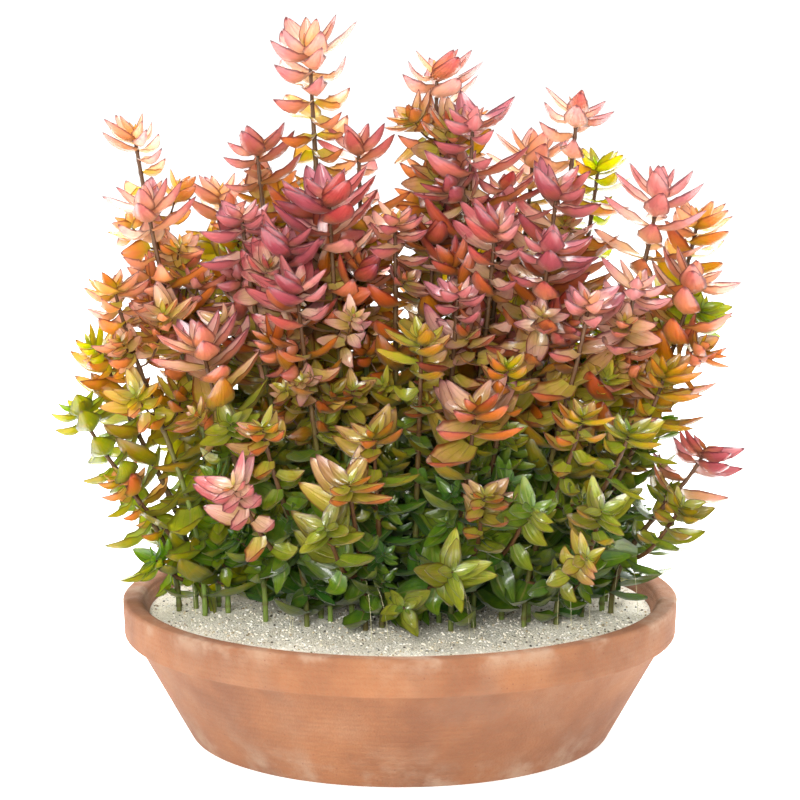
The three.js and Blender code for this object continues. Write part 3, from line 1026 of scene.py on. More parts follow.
@dataclass
class Shoot:
    """One stem on a curve from its foot to its tip."""

    number: int
    foot: Vector
    tip: Vector
    leaf: float
    warmth: float
    start: Vector
    habit: Habit
    reference: Vector | None = None
    is_sprout: bool = False
    branches: list["Shoot"] = field(default_factory=list)

    def __post_init__(self) -> None:
        """Works out the curve's four control points and the pairs' stations."""
        self.length = (self.tip - self.foot).length
        chord = self.tip - self.foot
        lean = Vector((chord.x, chord.y, 0.0)) * (self.habit.tip_lean / chord.z)
        tip_direction = (lean + UP).normalized()
        self.controls = (
            self.foot,
            self.foot + self.start * (self.habit.rise_share * self.length),
            self.tip - tip_direction * (self.habit.crown_share * self.length),
            self.tip,
        )
        self.stations = self.habit.stations(self.length)
        if self.reference is None:
            turn = Matrix.Rotation(math.pi * spread(self.number), 3, "Z")
            self.reference = turn @ Vector((1.0, 0.0, 0.0))

    def frame_at(self, station: float) -> StemFrame:
        """Finds a place on the stem.

        Args:
            station: Distance below the tip.

        Returns:
            The frame there.
        """
        t = max(1.0 - station / self.length, 0.0)
        s = 1.0 - t
        a, b, c, d = self.controls
        middle = a * s**3 + b * (3.0 * s * s * t) + c * (3.0 * s * t * t) + d * t**3
        slope = (b - a) * (s * s) + (c - b) * (2.0 * s * t) + (d - c) * (t * t)
        along = slope.normalized()
        across = (self.reference - along * self.reference.dot(along)).normalized()
        return StemFrame(middle, along, across, along.cross(across))

    def fork(self, number: int, tip: Vector, leaf: float, warmth: float) -> "Shoot":
        """Grows a side shoot, which leaves the stem at half its own height.

        Args:
            number: The side shoot's number.
            tip: Where it ends.
            leaf: Length of its grown leaves.
            warmth: Warmth of its crown's colour.

        Returns:
            The side shoot, which is also kept with its parent.
        """
        fork_height = (tip.z + self.habit.sand_top) / 2.0
        station = self.length
        while self.frame_at(station).middle.z < fork_height:
            station -= self.habit.band
        place = self.frame_at(station)
        away = tip - place.middle
        outward = max((place.outward(side) for side in range(4)), key=away.dot)
        foot = place.middle + outward * (self.habit.stem_width / 2.0)
        reference = place.along.cross(outward)
        branch = Shoot(number, foot, tip, leaf, warmth, outward, self.habit, reference)
        self.branches.append(branch)
        return branch

    def sprout(self, number: int, pair: int, side: int, length: float, leaf: float, warmth: float) -> None:
        """Grows a sprout out of a leaf's axil and keeps it with the side shoots.

        Args:
            number: The sprout's number.
            pair: Which pair of leaves it grows above.
            side: Which side of the stem.
            length: Its length.
            leaf: Length of its grown leaves.
            warmth: Warmth of its crown's colour.
        """
        place = self.frame_at(self.stations[pair] - 0.8)
        outward = place.outward(side)
        foot = place.middle + outward * (self.habit.stem_share * self.habit.stem_width)
        tip = foot + (outward * 0.75 + place.along * 0.66) * length
        reference = place.along.cross(outward)
        sprout = Shoot(number, foot, tip, leaf, warmth, outward, self.habit, reference, is_sprout=True)
        self.branches.append(sprout)


@dataclass(frozen=True)
class BackRow:
    """A curved row of shoots behind the others."""

    count: int
    half_span: float
    depth: float
    height: float
    leaf: float
    warmth: float
    side_drop: float = 0.0
    stagger: tuple[float, float] = (7.0, 14.0)
    shoulder: float = 0.22
    side_shift: tuple[float, float] = (-3.0, 5.0)
    side_leaf: float = 16.0

    def places(self) -> list[tuple[tuple[float, ...], ...]]:
        """Places the row's tips.

        Returns:
            One entry for each shoot, written as the front shoots are.
        """
        rows = []
        for i in range(self.count):
            share = 2.0 * i / (self.count - 1) - 1.0
            drop = 1.0 - self.shoulder * share * share
            x = self.half_span * share
            y = self.depth * drop + self.stagger[0] * spread(self.count + 5 * i)
            z = self.height * drop + self.stagger[1] * spread(1 + 3 * i)
            warmth = self.warmth + 0.2 * spread(7 * i + self.count)
            main = (x, y, z, self.leaf, warmth)
            if self.side_drop > 0.0:
                side = (x + self.side_shift[0] * share, y + self.side_shift[1], z - self.side_drop)
                rows.append((main, (*side, self.side_leaf, warmth - 0.25)))
            else:
                rows.append((main,))
        return rows


@dataclass
class LeafPose:
    """One leaf's place, curve and colour."""

    base: Vector
    outward: Vector
    along: Vector
    lateral: Vector
    pitch: float
    curl: float
    size: float
    half_width: float
    cup: float
    twist: float
    sway: float
    wave: float
    warmth: float
    age: float
    tone: float
    glow: float
    elbow: float = 0.48

    def spine(self, along: float) -> tuple[Vector, float]:
        """Follows the leaf's middle line, which turns up more sharply towards the tip.

        Args:
            along: From 0 at the base to 1 at the tip.

        Returns:
            The place, in millimetres, and the slope in radians.
        """
        first = self.pitch - 2.0 * self.curl * (1.0 - self.elbow)
        last = self.pitch + 2.0 * self.curl * self.elbow
        near = (self.elbow * math.cos(first), self.elbow * math.sin(first))
        far = ((1.0 - self.elbow) * math.cos(last), (1.0 - self.elbow) * math.sin(last))
        share = along * (2.0 - along)
        reach = share * near[0] + along * along * far[0]
        rise = share * near[1] + along * along * far[1]
        forward = (1.0 - along) * near[0] + along * far[0]
        upward = (1.0 - along) * near[1] + along * far[1]
        slope = math.atan2(upward, forward)
        aside = self.lateral * (self.sway * along * along)
        return self.base + (self.outward * reach + self.along * rise + aside) * self.size, slope

    def place(self, across: float, along: float, lift: float) -> Vector:
        """Bends a point of the flat template to this leaf.

        Args:
            across: From -1 at the left margin to 1 at the right one, already narrowed to the outline.
            along: From 0 at the base to 1 at the tip.
            lift: Height above the blade's middle surface, in millimetres.

        Returns:
            The point's place, in millimetres.
        """
        centre, slope = self.spine(along)
        normal = self.along * math.cos(slope) - self.outward * math.sin(slope)
        roll = self.twist * along
        side = self.lateral * math.cos(roll) + normal * math.sin(roll)
        above = normal * math.cos(roll) - self.lateral * math.sin(roll)
        ripple = self.wave * math.sin(9.0 * along + 2.0 * across) * abs(across) ** 3
        fold = 0.5 * abs(across) + 0.5 * across * across
        channel = self.cup * (1.0 + along * along) * fold
        height = lift + (channel + ripple) * self.half_width
        return centre + side * (across * self.half_width) + above * height

    def probes(self) -> list[Vector]:
        """Gives a few points of the leaf, to test the room that it has."""
        return [self.place(u, v, 0.0) for v in (0.3, 0.5, 0.7, 0.9) for u in (-0.7, 0.0, 0.7)]


@dataclass
class LeafTemplate:
    """The flat blade that every leaf starts from: a thin lens with its margin welded."""

    across: int = 4
    along: int = 7
    crowding: float = 1.55
    widest: float = 0.34
    base_share: float = 0.6
    fullness: float = 1.7
    bluntness: float = 0.7
    half_thickness: float = 0.3

    def outline(self, along: float) -> float:
        """Gives the blade's half width, as a share of its widest.

        Args:
            along: From 0 at the base to 1 at the tip.

        Returns:
            A share from 0 to 1.
        """
        if along < self.widest:
            rise = math.sin(0.5 * math.pi * along / self.widest)
            return self.base_share + (1.0 - self.base_share) * rise
        past = (along - self.widest) / (1.0 - self.widest)
        return max(1.0 - past**self.fullness, 0.0) ** self.bluntness

    def build(self) -> bpy.types.Mesh:
        """Builds the template mesh, with X across, Y along and Z the lift in millimetres.

        Returns:
            The mesh, with a UV map blade and the number below on its corners.
        """
        bm = bmesh.new()
        blade = bm.loops.layers.uv.new("blade")
        below = bm.loops.layers.float.new("below")
        bmesh.ops.create_grid(bm, x_segments=self.across, y_segments=self.along, size=1.0)
        for vert in bm.verts:
            share = 0.5 * (vert.co.y + 1.0)
            vert.co.y = 1.0 - (1.0 - share) ** self.crowding
        for face in bm.faces:
            for loop in face.loops:
                loop[blade].uv = (0.5 * (loop.vert.co.x + 1.0), loop.vert.co.y)
        lower = bmesh.ops.duplicate(bm, geom=bm.verts[:] + bm.edges[:] + bm.faces[:])["geom"]
        lower_faces = [item for item in lower if isinstance(item, bmesh.types.BMFace)]
        bmesh.ops.reverse_faces(bm, faces=lower_faces)
        for face in lower_faces:
            for loop in face.loops:
                loop[below] = 1.0
        lower_verts = {item for item in lower if isinstance(item, bmesh.types.BMVert)}
        for vert in bm.verts:
            side = -1.0 if vert in lower_verts else 1.0
            swell = (1.0 - vert.co.x**2) * (1.0 - vert.co.y**4)
            vert.co.z = side * self.half_thickness * swell
            vert.co.x *= self.outline(vert.co.y)
        bmesh.ops.remove_doubles(bm, verts=bm.verts, dist=0.0005)
        for edge in bm.edges:
            sides = {loop[below] for loop in edge.link_loops}
            edge.smooth = len(sides) == 1
        for name in POINT_NUMBERS:
            bm.verts.layers.float.new(name)
        mesh = bpy.data.meshes.new("leaf_template")
        bm.to_mesh(mesh)
        bm.free()
        return mesh


class FlatBlade:
    """A blade's mesh with the places that its points have while flat."""

    def __init__(self, mesh: bpy.types.Mesh) -> None:
        """Keeps the mesh and notes its flat points."""
        self.mesh = mesh
        self.flat = [vert.co.copy() for vert in mesh.vertices]

    def bend(self, pose: LeafPose) -> None:
        """Bends the mesh to a leaf's pose and stores the leaf's numbers at its points.

        Args:
            pose: The leaf's pose.
        """
        bent = [pose.place(point.x, point.y, point.z) for point in self.flat]
        self.mesh.vertices.foreach_set("co", [value for point in bent for value in point])
        for name in POINT_NUMBERS:
            self.mesh.attributes[name].data.foreach_set("value", [getattr(pose, name)] * len(bent))


class Room:
    """The space that stems and leaves take, kept as small cubes."""

    def __init__(self, cube: float = 2.4) -> None:
        """Starts with nothing taken."""
        self.cube = cube
        self.taken: dict[tuple[int, int, int], int] = {}

    def key(self, point: Vector) -> tuple[int, int, int]:
        """Gives the cube that a point is in."""
        return tuple(math.floor(value / self.cube) for value in point)

    def take(self, points: list[Vector], owner: int) -> None:
        """Marks the cubes of some points, unless another has them already."""
        for point in points:
            self.taken.setdefault(self.key(point), owner)

    def clashes(self, points: list[Vector], owner: int) -> int:
        """Counts the points that lie in another's cubes."""
        return sum(self.taken.get(self.key(point), owner) != owner for point in points)


class Zone(Enum):
    """Parts of the clump: where each begins and where it is full, in millimetres."""

    # Across, from the middle to one side
    LEFT = (-40.0, -90.0)
    UPPER_LEFT = (-60.0, -110.0)
    YELLOW_LEFT = (-50.0, -110.0)
    THIN_LEFT = (-60.0, -95.0)
    DROPPING_LEFT = (-50.0, -90.0)
    RIGHT = (60.0, 120.0)
    YELLOW_RIGHT = (70.0, 120.0)
    WARM_RIGHT = (40.0, 90.0)
    SIDES = (60.0, 105.0)
    # From the front to the back
    BEHIND = (-6.0, 24.0)
    OPEN_BEHIND = (-8.0, 30.0)
    YELLOW_BEHIND = (10.0, 50.0)
    # Height above the sand
    ABOVE_FOOT = (50.0, 90.0)
    SHADED = (120.0, 50.0)
    THIN_FOOT = (90.0, 50.0)
    DROPPING_FOOT = (110.0, 60.0)
    LOW_CROWN = (120.0, 80.0)
    WARMING = (25.0, 150.0)
    UPPER = (80.0, 130.0)
    VIGOROUS = (70.0, 130.0)
    # Distance below a shoot's tip
    BELOW_CROWN = (6.0, 42.0)

    def share(self, value: float) -> float:
        """Tells how far into the zone a value lies, from 0 to 1."""
        return smooth_step(*self.value, value)


class Trait(Enum):
    """What differs by chance from leaf to leaf, each with its own step in the run of chances."""

    YAW = 0
    TWIST = 3
    WIDTH = 5
    PITCH = 7
    CURL = 11
    TONE = 17
    SIZE = 23
    WARMTH = 29
    CUP = 37
    SWAY = 43
    GLOW = 53

    def of(self, seed: int) -> float:
        """Gives the trait's chance value for a leaf, from -1 to 1."""
        return spread(seed + self.value)


@dataclass
class Clump:
    """All shoots of the plant, and how each of their leaves stands."""

    habit: Habit = field(default_factory=Habit)
    rows: tuple[BackRow, ...] = (
        BackRow(8, 104.0, 52.0, 158.0, 19.0, 0.58),
        BackRow(8, 92.0, 80.0, 96.0, 18.0, 0.42, 52.0),
    )
    # Ways to stand a leaf clear of others, and how many of its probes may still clash
    lifts: tuple[float, ...] = (0.0, 12.0, 24.0)
    turns: tuple[float, ...] = (0.0, 13.0, -13.0)
    most_clashes: int = 8
    sunk_clashes: int = 6
    sprout_share: float = 0.3
    lowest_sprout: float = 9.0
    sprout_length: tuple[float, float] = (6.0, 19.0)
    sprout_leaf: tuple[float, float] = (9.0, 14.5)
    # What a strong sprout adds to the greatest length, and to its leaves' length
    sprout_vigour: tuple[float, float] = (9.0, 2.0)
    # Places with more sprouts: across, and height above the sand
    bushy_share: float = 0.4
    bushy_places: tuple[tuple[float, float], ...] = ((-98.0, 145.0), (-70.0, 160.0), (5.0, 185.0))
    bushy_reach: float = 32.0
    # Share of the lower leaves that have dropped off, and what the open sides add
    lost_shares: tuple[float, float] = (0.2, 0.06)
    bare_length: tuple[float, float] = (17.0, 45.0)
    # Warmth that leaves behind the clump tend to, and how strongly: a lighter yellow-green, partly their own
    # colour and partly painted backlight
    warmth_behind: float = 0.34
    pull_behind: float = 0.75

    def over_sand(self, place: Vector) -> float:
        """Gives a place's height above the sand."""
        return place.z - self.habit.sand_top

    def tip_at(self, x: float, y: float, height: float) -> Vector:
        """Places a tip by its height above the sand."""
        return Vector((x, y, self.habit.sand_top + height))

    def grow(self) -> list[Shoot]:
        """Grows the stems.

        Returns:
            The main shoots, in the order of the solids. A side shoot is with its parent.
        """
        rows = list(FRONT_SHOOTS)
        for row in self.rows:
            rows.extend(row.places())
        mains = []
        number = 1
        for (*point, leaf, warmth), *sides in rows:
            tip = self.tip_at(*point)
            main = Shoot(number, self.habit.foot_under(tip), tip, leaf, warmth, UP, self.habit)
            mains.append(main)
            number += 1
            for *point, leaf, warmth in sides:
                main.fork(number, self.tip_at(*point), leaf, warmth)
                number += 1
        for main in mains:
            self.add_sprouts(main)
        return mains

    def add_sprouts(self, main: Shoot) -> None:
        """Grows sprouts in some of a shoot's lower axils.

        Args:
            main: The shoot.
        """
        draw = Random(1000 + main.number)
        bare = draw.uniform(*self.bare_length)
        first = next((i for i, station in enumerate(main.stations) if station > bare), 5)
        for pair in range(first, len(main.stations)):
            place = main.frame_at(main.stations[pair]).middle
            chance = self.sprout_chance(place)
            for side in (pair % 2, pair % 2 + 2):
                if draw.random() < chance:
                    self.add_sprout(main, pair, side, place, draw)

    def sprout_chance(self, place: Vector) -> float:
        """Tells how likely an axil has a sprout: fewer at the left foot and high up, more where it is bushy.

        Args:
            place: Where the axil is.

        Returns:
            A number from 0 to 1.
        """
        height = self.over_sand(place)
        thin = 1.0 - 0.6 * Zone.THIN_LEFT.share(place.x) * Zone.THIN_FOOT.share(height)
        thin *= 1.0 - 0.5 * Zone.UPPER.share(height)
        chance = self.sprout_share * thin if height > self.lowest_sprout else 0.0
        near = (math.hypot(place.x - x, height - over_sand) for x, over_sand in self.bushy_places)
        bushiness = smooth_step(self.bushy_reach, 0.5 * self.bushy_reach, min(near))
        return chance + self.bushy_share * bushiness

    def add_sprout(self, main: Shoot, pair: int, side: int, place: Vector, draw: Random) -> None:
        """Grows one sprout, longer and warmer higher up.

        Args:
            main: The shoot that it grows on.
            pair: Which pair of leaves it grows above.
            side: Which side of the stem.
            place: Where the axil is.
            draw: The source of chance.
        """
        height = self.over_sand(place)
        low = self.ground_warmth(place)
        # Partly painted backlight: sprouts behind the clump are less warm and so yellower
        high = main.warmth * (0.85 - 0.35 * Zone.BEHIND.share(place.y))
        warmth = low + (high - low) * Zone.WARMING.share(height) + draw.uniform(-0.08, 0.12)
        vigour = Zone.VIGOROUS.share(height)
        longer, larger = (most * vigour for most in self.sprout_vigour)
        length = draw.uniform(self.sprout_length[0], self.sprout_length[1] + longer)
        leaf = draw.uniform(self.sprout_leaf[0] + larger, self.sprout_leaf[1] + larger)
        number = 100 * main.number + 4 * pair + side
        main.sprout(number, pair, side, length, leaf, warmth)

    def pose(self, shoot: Shoot, pair: int, side: int, lift: float, turn: float) -> LeafPose:
        """Works out how one leaf stands, curls and is coloured.

        Args:
            shoot: The shoot that it grows on.
            pair: Which pair, counted from the tip.
            side: Which of the stem's four sides.
            lift: Degrees by which it stands steeper to clear its neighbours.
            turn: Degrees by which it is turned round the stem to clear them.

        Returns:
            The leaf's pose.
        """
        habit = self.habit
        seed = habit.seed(shoot.number, pair, side)
        station = shoot.stations[pair]
        place = shoot.frame_at(station)
        yaw = math.radians(habit.yaw_spread * Trait.YAW.of(seed) + turn)
        outward = Matrix.Rotation(yaw, 3, place.along) @ place.outward(side)
        age = min(pair / habit.aging_pairs, 1.0)
        untidy = habit.pitch_spread * (1.0 + habit.untidiness * age)
        curl = habit.aged(habit.curl, pair) + habit.spread_at(habit.curl_spread, age) * Trait.CURL.of(seed)
        size = shoot.leaf * habit.aged(habit.size, pair)
        size *= 1.0 + habit.spread_at(habit.size_spread, age) * Trait.SIZE.of(seed)
        base = place.middle + outward * (habit.stem_share * habit.stem_width)
        warmth = self.warmth_at(shoot, station, base) - habit.green_bud * shoot.warmth * math.exp(-pair)
        return LeafPose(
            base=base,
            outward=outward,
            along=place.along,
            lateral=place.along.cross(outward),
            pitch=math.radians(self.pitch_of(shoot, pair, lift, untidy * Trait.PITCH.of(seed))),
            curl=math.radians(curl),
            size=size,
            half_width=size * habit.half_width * (1.0 + habit.width_spread * Trait.WIDTH.of(seed)),
            cup=0.7 - 0.25 * age + 0.2 * Trait.CUP.of(seed),
            twist=math.radians(habit.twist_spread * Trait.TWIST.of(seed) * (0.4 + age)),
            sway=habit.sway_spread * Trait.SWAY.of(seed),
            wave=habit.wave * age,
            warmth=warmth + habit.warmth_spread * Trait.WARMTH.of(seed),
            age=age,
            tone=Trait.TONE.of(seed),
            glow=self.glow_and_painted_light_at(base, 0.5 + 0.5 * Trait.GLOW.of(seed)),
        )

    def pitch_of(self, shoot: Shoot, pair: int, lift: float, chance: float) -> float:
        """Gives how steeply a leaf stands: steepest in a crown, and less so in a low one.

        Args:
            shoot: The shoot that it grows on.
            pair: Which pair, counted from the tip.
            lift: Degrees by which it stands steeper to clear its neighbours.
            chance: Degrees that it has by chance.

        Returns:
            The pitch in degrees.
        """
        grown, young, fade = self.habit.pitch
        usual, by_shoot, low_down = self.habit.crown_steepness
        low_crown = Zone.LOW_CROWN.share(self.over_sand(shoot.tip))
        young *= usual + by_shoot * spread(3 * shoot.number) - low_down * low_crown
        return self.habit.aged((grown, young, fade), pair) + lift + chance

    def glow_and_painted_light_at(self, place: Vector, chance: float) -> float:
        """Gives how freely light comes through a leaf, and how much light is painted into its colour: more
        at the sides and the back of the clump, with painted shade low at the front.

        Args:
            place: Where the leaf grows.
            chance: The leaf's own share, from 0 to 1.

        Returns:
            A number from 0 to 1.
        """
        height = self.over_sand(place)
        left = Zone.LEFT.share(place.x)
        left += (Zone.UPPER_LEFT.share(place.x) - left) * Zone.ABOVE_FOOT.share(height)
        open_side = max(left, Zone.RIGHT.share(place.x), Zone.OPEN_BEHIND.share(place.y))
        # Painted shade: leaves low at the front, away from the left, get less glow and so a darker colour
        shaded = Zone.SHADED.share(height) * (1.0 - left)
        glow = chance * (0.6 + 0.4 * open_side) + 0.4 * (1.0 - chance) * open_side
        return glow * (1.0 - 0.7 * shaded)

    @staticmethod
    def ground_warmth(place: Vector) -> float:
        """Gives the warmth of leaves near the sand: green in front, yellower to the left and behind, partly
        their own colour and partly painted backlight.

        Args:
            place: Where the leaf grows.

        Returns:
            A number from 0 for green to 1 for pink red.
        """
        # Partly painted backlight: the lighter yellow-green to the left and behind
        aside = 0.06 + 0.27 * Zone.YELLOW_LEFT.share(place.x) + 0.04 * Zone.YELLOW_RIGHT.share(place.x)
        return aside + 0.12 * Zone.YELLOW_BEHIND.share(place.y)

    def warmth_at(self, shoot: Shoot, station: float, place: Vector) -> float:
        """Gives a leaf's warmth: the crown keeps the shoot's own, and leaves low down are green.

        Args:
            shoot: The shoot.
            station: The leaf's distance below the tip.
            place: Where the leaf grows.

        Returns:
            A number from 0 for green to 1 for pink red.
        """
        low = self.ground_warmth(place)
        high = 0.14 + 0.54 * shoot.warmth
        right = Zone.WARM_RIGHT.share(place.x)
        risen = smooth_step(30.0 - 20.0 * right, 150.0 - 30.0 * right, self.over_sand(place))
        zone = low + (high - low) * risen
        # Partly painted backlight: leaves behind the clump are pulled to a lighter yellow-green
        zone += self.pull_behind * (self.warmth_behind - zone) * Zone.BEHIND.share(place.y)
        return shoot.warmth + (min(zone, shoot.warmth) - shoot.warmth) * Zone.BELOW_CROWN.share(station)

    def leaves(self, mains: list[Shoot]) -> dict[int, list[LeafPose]]:
        """Poses the leaves of all shoots, crowns first, each in the freest of a few ways.

        Args:
            mains: The main shoots.

        Returns:
            Each shoot's leaves, by its number.
        """
        room = Room()
        shoots = [shoot for main in mains for shoot in (main, *main.branches)]
        for shoot in shoots:
            steps = range(int(shoot.length / 2.0))
            room.take([shoot.frame_at(2.0 * step).middle for step in steps], shoot.number)
        planned: dict[int, list[LeafPose]] = {shoot.number: [] for shoot in shoots}
        most_pairs = max(len(shoot.stations) for shoot in shoots)
        for pair in range(most_pairs):
            for shoot in shoots:
                if pair < len(shoot.stations) and self.has_room_below(shoot, pair):
                    for side in (pair % 2, pair % 2 + 2):
                        if not self.is_lost(shoot, pair, side):
                            self.plan(room, shoot, pair, side, planned[shoot.number])
        return planned

    def is_lost(self, shoot: Shoot, pair: int, side: int) -> bool:
        """Tells whether a leaf has dropped off, as some have below the crown, most of all at the left foot.

        Args:
            shoot: The shoot.
            pair: Which pair.
            side: Which side of the stem.

        Returns:
            Whether the leaf is missing.
        """
        place = shoot.frame_at(shoot.stations[pair]).middle
        left_foot = Zone.DROPPING_LEFT.share(place.x) * Zone.DROPPING_FOOT.share(self.over_sand(place))
        open_side = Zone.SIDES.share(abs(place.x)) + 2.0 * left_foot
        share = self.lost_shares[0] + self.lost_shares[1] * open_side
        chance = 0.5 + 0.5 * spread(37 * shoot.number + 5 * pair + 3 * side)
        return pair > self.habit.crown_pairs + 1 and chance < share

    def has_room_below(self, shoot: Shoot, pair: int) -> bool:
        """Tells whether a pair is far enough above the sand."""
        return shoot.frame_at(shoot.stations[pair]).middle.z > self.habit.sand_top + 4.0

    def plan(self, room: Room, shoot: Shoot, pair: int, side: int, kept: list[LeafPose]) -> None:
        """Tries a leaf in several ways and keeps the one that clears the others best.

        Args:
            room: The space taken so far.
            shoot: The shoot.
            pair: Which pair.
            side: Which side of the stem.
            kept: The shoot's leaves so far, to which the leaf is added.
        """
        best = None
        fewest = self.most_clashes + 1
        for lift in self.lifts:
            for turn in self.turns:
                pose = self.pose(shoot, pair, side, lift, turn)
                probes = pose.probes()
                clashes = room.clashes(probes, shoot.number)
                if min(point.z for point in probes) < self.habit.sand_top + 1.0:
                    clashes += self.sunk_clashes
                if clashes < fewest:
                    best, fewest = pose, clashes
                if clashes == 0:
                    break
            if fewest == 0:
                break
        if best is not None:
            room.take(best.probes(), shoot.number)
            kept.append(best)


def ring_edges(verts: list[bmesh.types.BMVert]) -> list[bmesh.types.BMEdge]:
    """Lists the edges that join some points to each other.

    Args:
        verts: The points of a ring.

    Returns:
        The ring's edges.
    """
    among = set(verts)
    found = dict.fromkeys(edge for vert in verts for edge in vert.link_edges)
    return [edge for edge in found if among.issuperset(edge.verts)]


def grow_tube(bm: bmesh.types.BMesh, sides: int, rings: list[Matrix]) -> Iterator[list[bmesh.types.BMVert]]:
    """Draws a tube out of a closed ring, step by step.

    Args:
        bm: The mesh.
        sides: Number of points in a ring.
        rings: The transform that takes a flat unit ring to each place.

    Yields:
        The points of each ring, once it is drawn.
    """
    made = bmesh.ops.create_circle(bm, cap_ends=True, segments=sides, radius=1.0, matrix=rings[0])
    verts = made["verts"]
    yield verts
    for before, after in zip(rings, rings[1:]):
        grown = bmesh.ops.extrude_edge_only(bm, edges=ring_edges(verts))["geom"]
        verts = [item for item in grown if isinstance(item, bmesh.types.BMVert)]
        bmesh.ops.transform(bm, matrix=after @ before.inverted(), verts=verts)
        yield verts


@dataclass
class StemBuilder:
    """Draws stems as tubes that swell a little at each pair of leaves."""

    sides: int = 8
    foot_radius: float = 1.2
    tip_radius: float = 0.8
    sprout_girth: float = 0.5
    node_swell: float = 0.22
    root_depth: float = 8.0
    inset: float = 0.8
    # Rings below, at and above a node, each with its share of the swelling
    node_rings: tuple[tuple[float, float], ...] = ((1.6, 0.0), (0.4, 1.0), (-1.4, 0.0))
    top_rings: tuple[tuple[float, float], ...] = ((4.0, 0.0), (1.5, 0.0))
    last_node: int = 5

    def radius_at(self, shoot: Shoot, station: float, swell: float = 0.0) -> float:
        """Gives the stem's radius at a place.

        Args:
            shoot: The shoot.
            station: Distance below the tip.
            swell: Share of a node's swelling.

        Returns:
            The radius in millimetres.
        """
        share = smooth_step(0.0, 60.0, station)
        girth = self.sprout_girth if shoot.is_sprout else 1.0
        plain = girth * (self.tip_radius + (self.foot_radius - self.tip_radius) * share)
        return plain * (1.0 + self.node_swell * swell)

    def steps(self, shoot: Shoot) -> list[tuple[float, float]]:
        """Lists the rings of a stem from the foot up.

        Args:
            shoot: The shoot.

        Returns:
            Each ring's distance below the tip, and how much it is swollen by a node.
        """
        rings = [(shoot.length, 0.0)]
        for station in reversed(shoot.stations[self.last_node:]):
            rings += [(station + below, swell) for below, swell in self.node_rings]
        rings += self.top_rings
        return [ring for ring in rings if ring[0] <= shoot.length]

    def build(self, bm: bmesh.types.BMesh, shoot: Shoot, is_main: bool) -> None:
        """Adds one stem to a mesh.

        Args:
            bm: The mesh, in millimetres.
            shoot: The shoot.
            is_main: Whether the stem stands in the sand, and not on another stem.
        """
        age = bm.verts.layers.float["age"]
        tone = bm.verts.layers.float["tone"]
        steps = self.steps(shoot)
        place = shoot.frame_at(shoot.length)
        hidden = UP * self.root_depth if is_main else place.along * self.inset
        start = StemFrame(place.middle - hidden, place.along, place.across, place.over)
        rings = [start.matrix(self.radius_at(shoot, shoot.length))]
        rings += [shoot.frame_at(down).matrix(self.radius_at(shoot, down, swell)) for down, swell in steps]
        tube = grow_tube(bm, self.sides, rings)
        foot_faces = {face for vert in next(tube) for face in vert.link_faces}
        bmesh.ops.reverse_faces(bm, faces=list(foot_faces))
        for (station, swell), verts in zip(steps, tube):
            for vert in verts:
                vert[age] = smooth_step(10.0, 150.0, station)
                vert[tone] = swell
        bmesh.ops.pointmerge(bm, verts=verts, merge_co=shoot.frame_at(0.0).middle)


@dataclass
class RootThreads:
    """Fine pale roots that hang from the lowest nodes of some shoots to the sand."""

    carriers: tuple[int, ...] = (31, 33, 35, 36, 38, 39, 41, 43, 45, 47, 49, 52)
    each: int = 2
    radius: float = 0.1
    sides: int = 4
    segments: int = 7
    height: tuple[float, float] = (12.0, 34.0)
    angle: tuple[float, float] = (-2.6, -0.5)
    reach: tuple[float, float] = (5.0, 16.0)
    bow_rise: tuple[float, float] = (-2.0, 4.0)

    def build(self, bm: bmesh.types.BMesh, shoot: Shoot) -> None:
        """Adds a shoot's threads to its mesh.

        Args:
            bm: The mesh, in millimetres.
            shoot: The shoot.
        """
        draw = Random(shoot.number)
        for _ in range(self.each):
            height = draw.uniform(*self.height)
            station = shoot.length
            while shoot.frame_at(station).middle.z < shoot.habit.sand_top + height:
                station -= 1.0
            start = shoot.frame_at(station).middle
            angle = draw.uniform(*self.angle)
            out = Vector((math.cos(angle), math.sin(angle), 0.0)) * draw.uniform(*self.reach)
            end = Vector((start.x + out.x, start.y + out.y, shoot.habit.sand_top - 1.0))
            bow = start + out * 0.8 + UP * draw.uniform(*self.bow_rise)
            self.thread(bm, start, bow, end)

    def thread(self, bm: bmesh.types.BMesh, start: Vector, bow: Vector, end: Vector) -> None:
        """Draws one thread along a bowed line.

        Args:
            bm: The mesh.
            start: Where it leaves the stem.
            bow: The point that it bends towards.
            end: Where it goes into the sand.
        """
        thin = Matrix.Diagonal((self.radius, self.radius, 1.0, 1.0))
        rings = [Matrix.Translation(start) @ thin]
        for step in range(1, self.segments + 1):
            t = step / self.segments
            point = start * (1.0 - t) ** 2 + bow * (2.0 * t * (1.0 - t)) + end * t * t
            slope = (bow - start) * (1.0 - t) + (end - bow) * t
            turn = UP.rotation_difference(slope).to_matrix().to_4x4()
            rings.append(Matrix.Translation(point) @ turn @ thin)
        for verts in grow_tube(bm, self.sides, rings):
            for face in {face for vert in verts for face in vert.link_faces}:
                face.material_index = Part.ROOT.value
        bmesh.ops.contextual_create(bm, geom=ring_edges(verts))


def add_piece(name: str, bm: bmesh.types.BMesh, materials: list[bpy.types.Material]) -> bpy.types.Object:
    """Turns a mesh in millimetres into an object at the origin, in metres.

    Args:
        name: The object's name.
        bm: The mesh, which is freed.
        materials: The object's materials, in the order of its slots.

    Returns:
        The object.
    """
    bmesh.ops.scale(bm, vec=(METRES, METRES, METRES), verts=bm.verts)
    mesh = bpy.data.meshes.new(name)
    bm.to_mesh(mesh)
    bm.free()
    for material in materials:
        mesh.materials.append(material)
    piece = bpy.data.objects.new(name, mesh)
    bpy.context.scene.collection.objects.link(piece)
    return piece


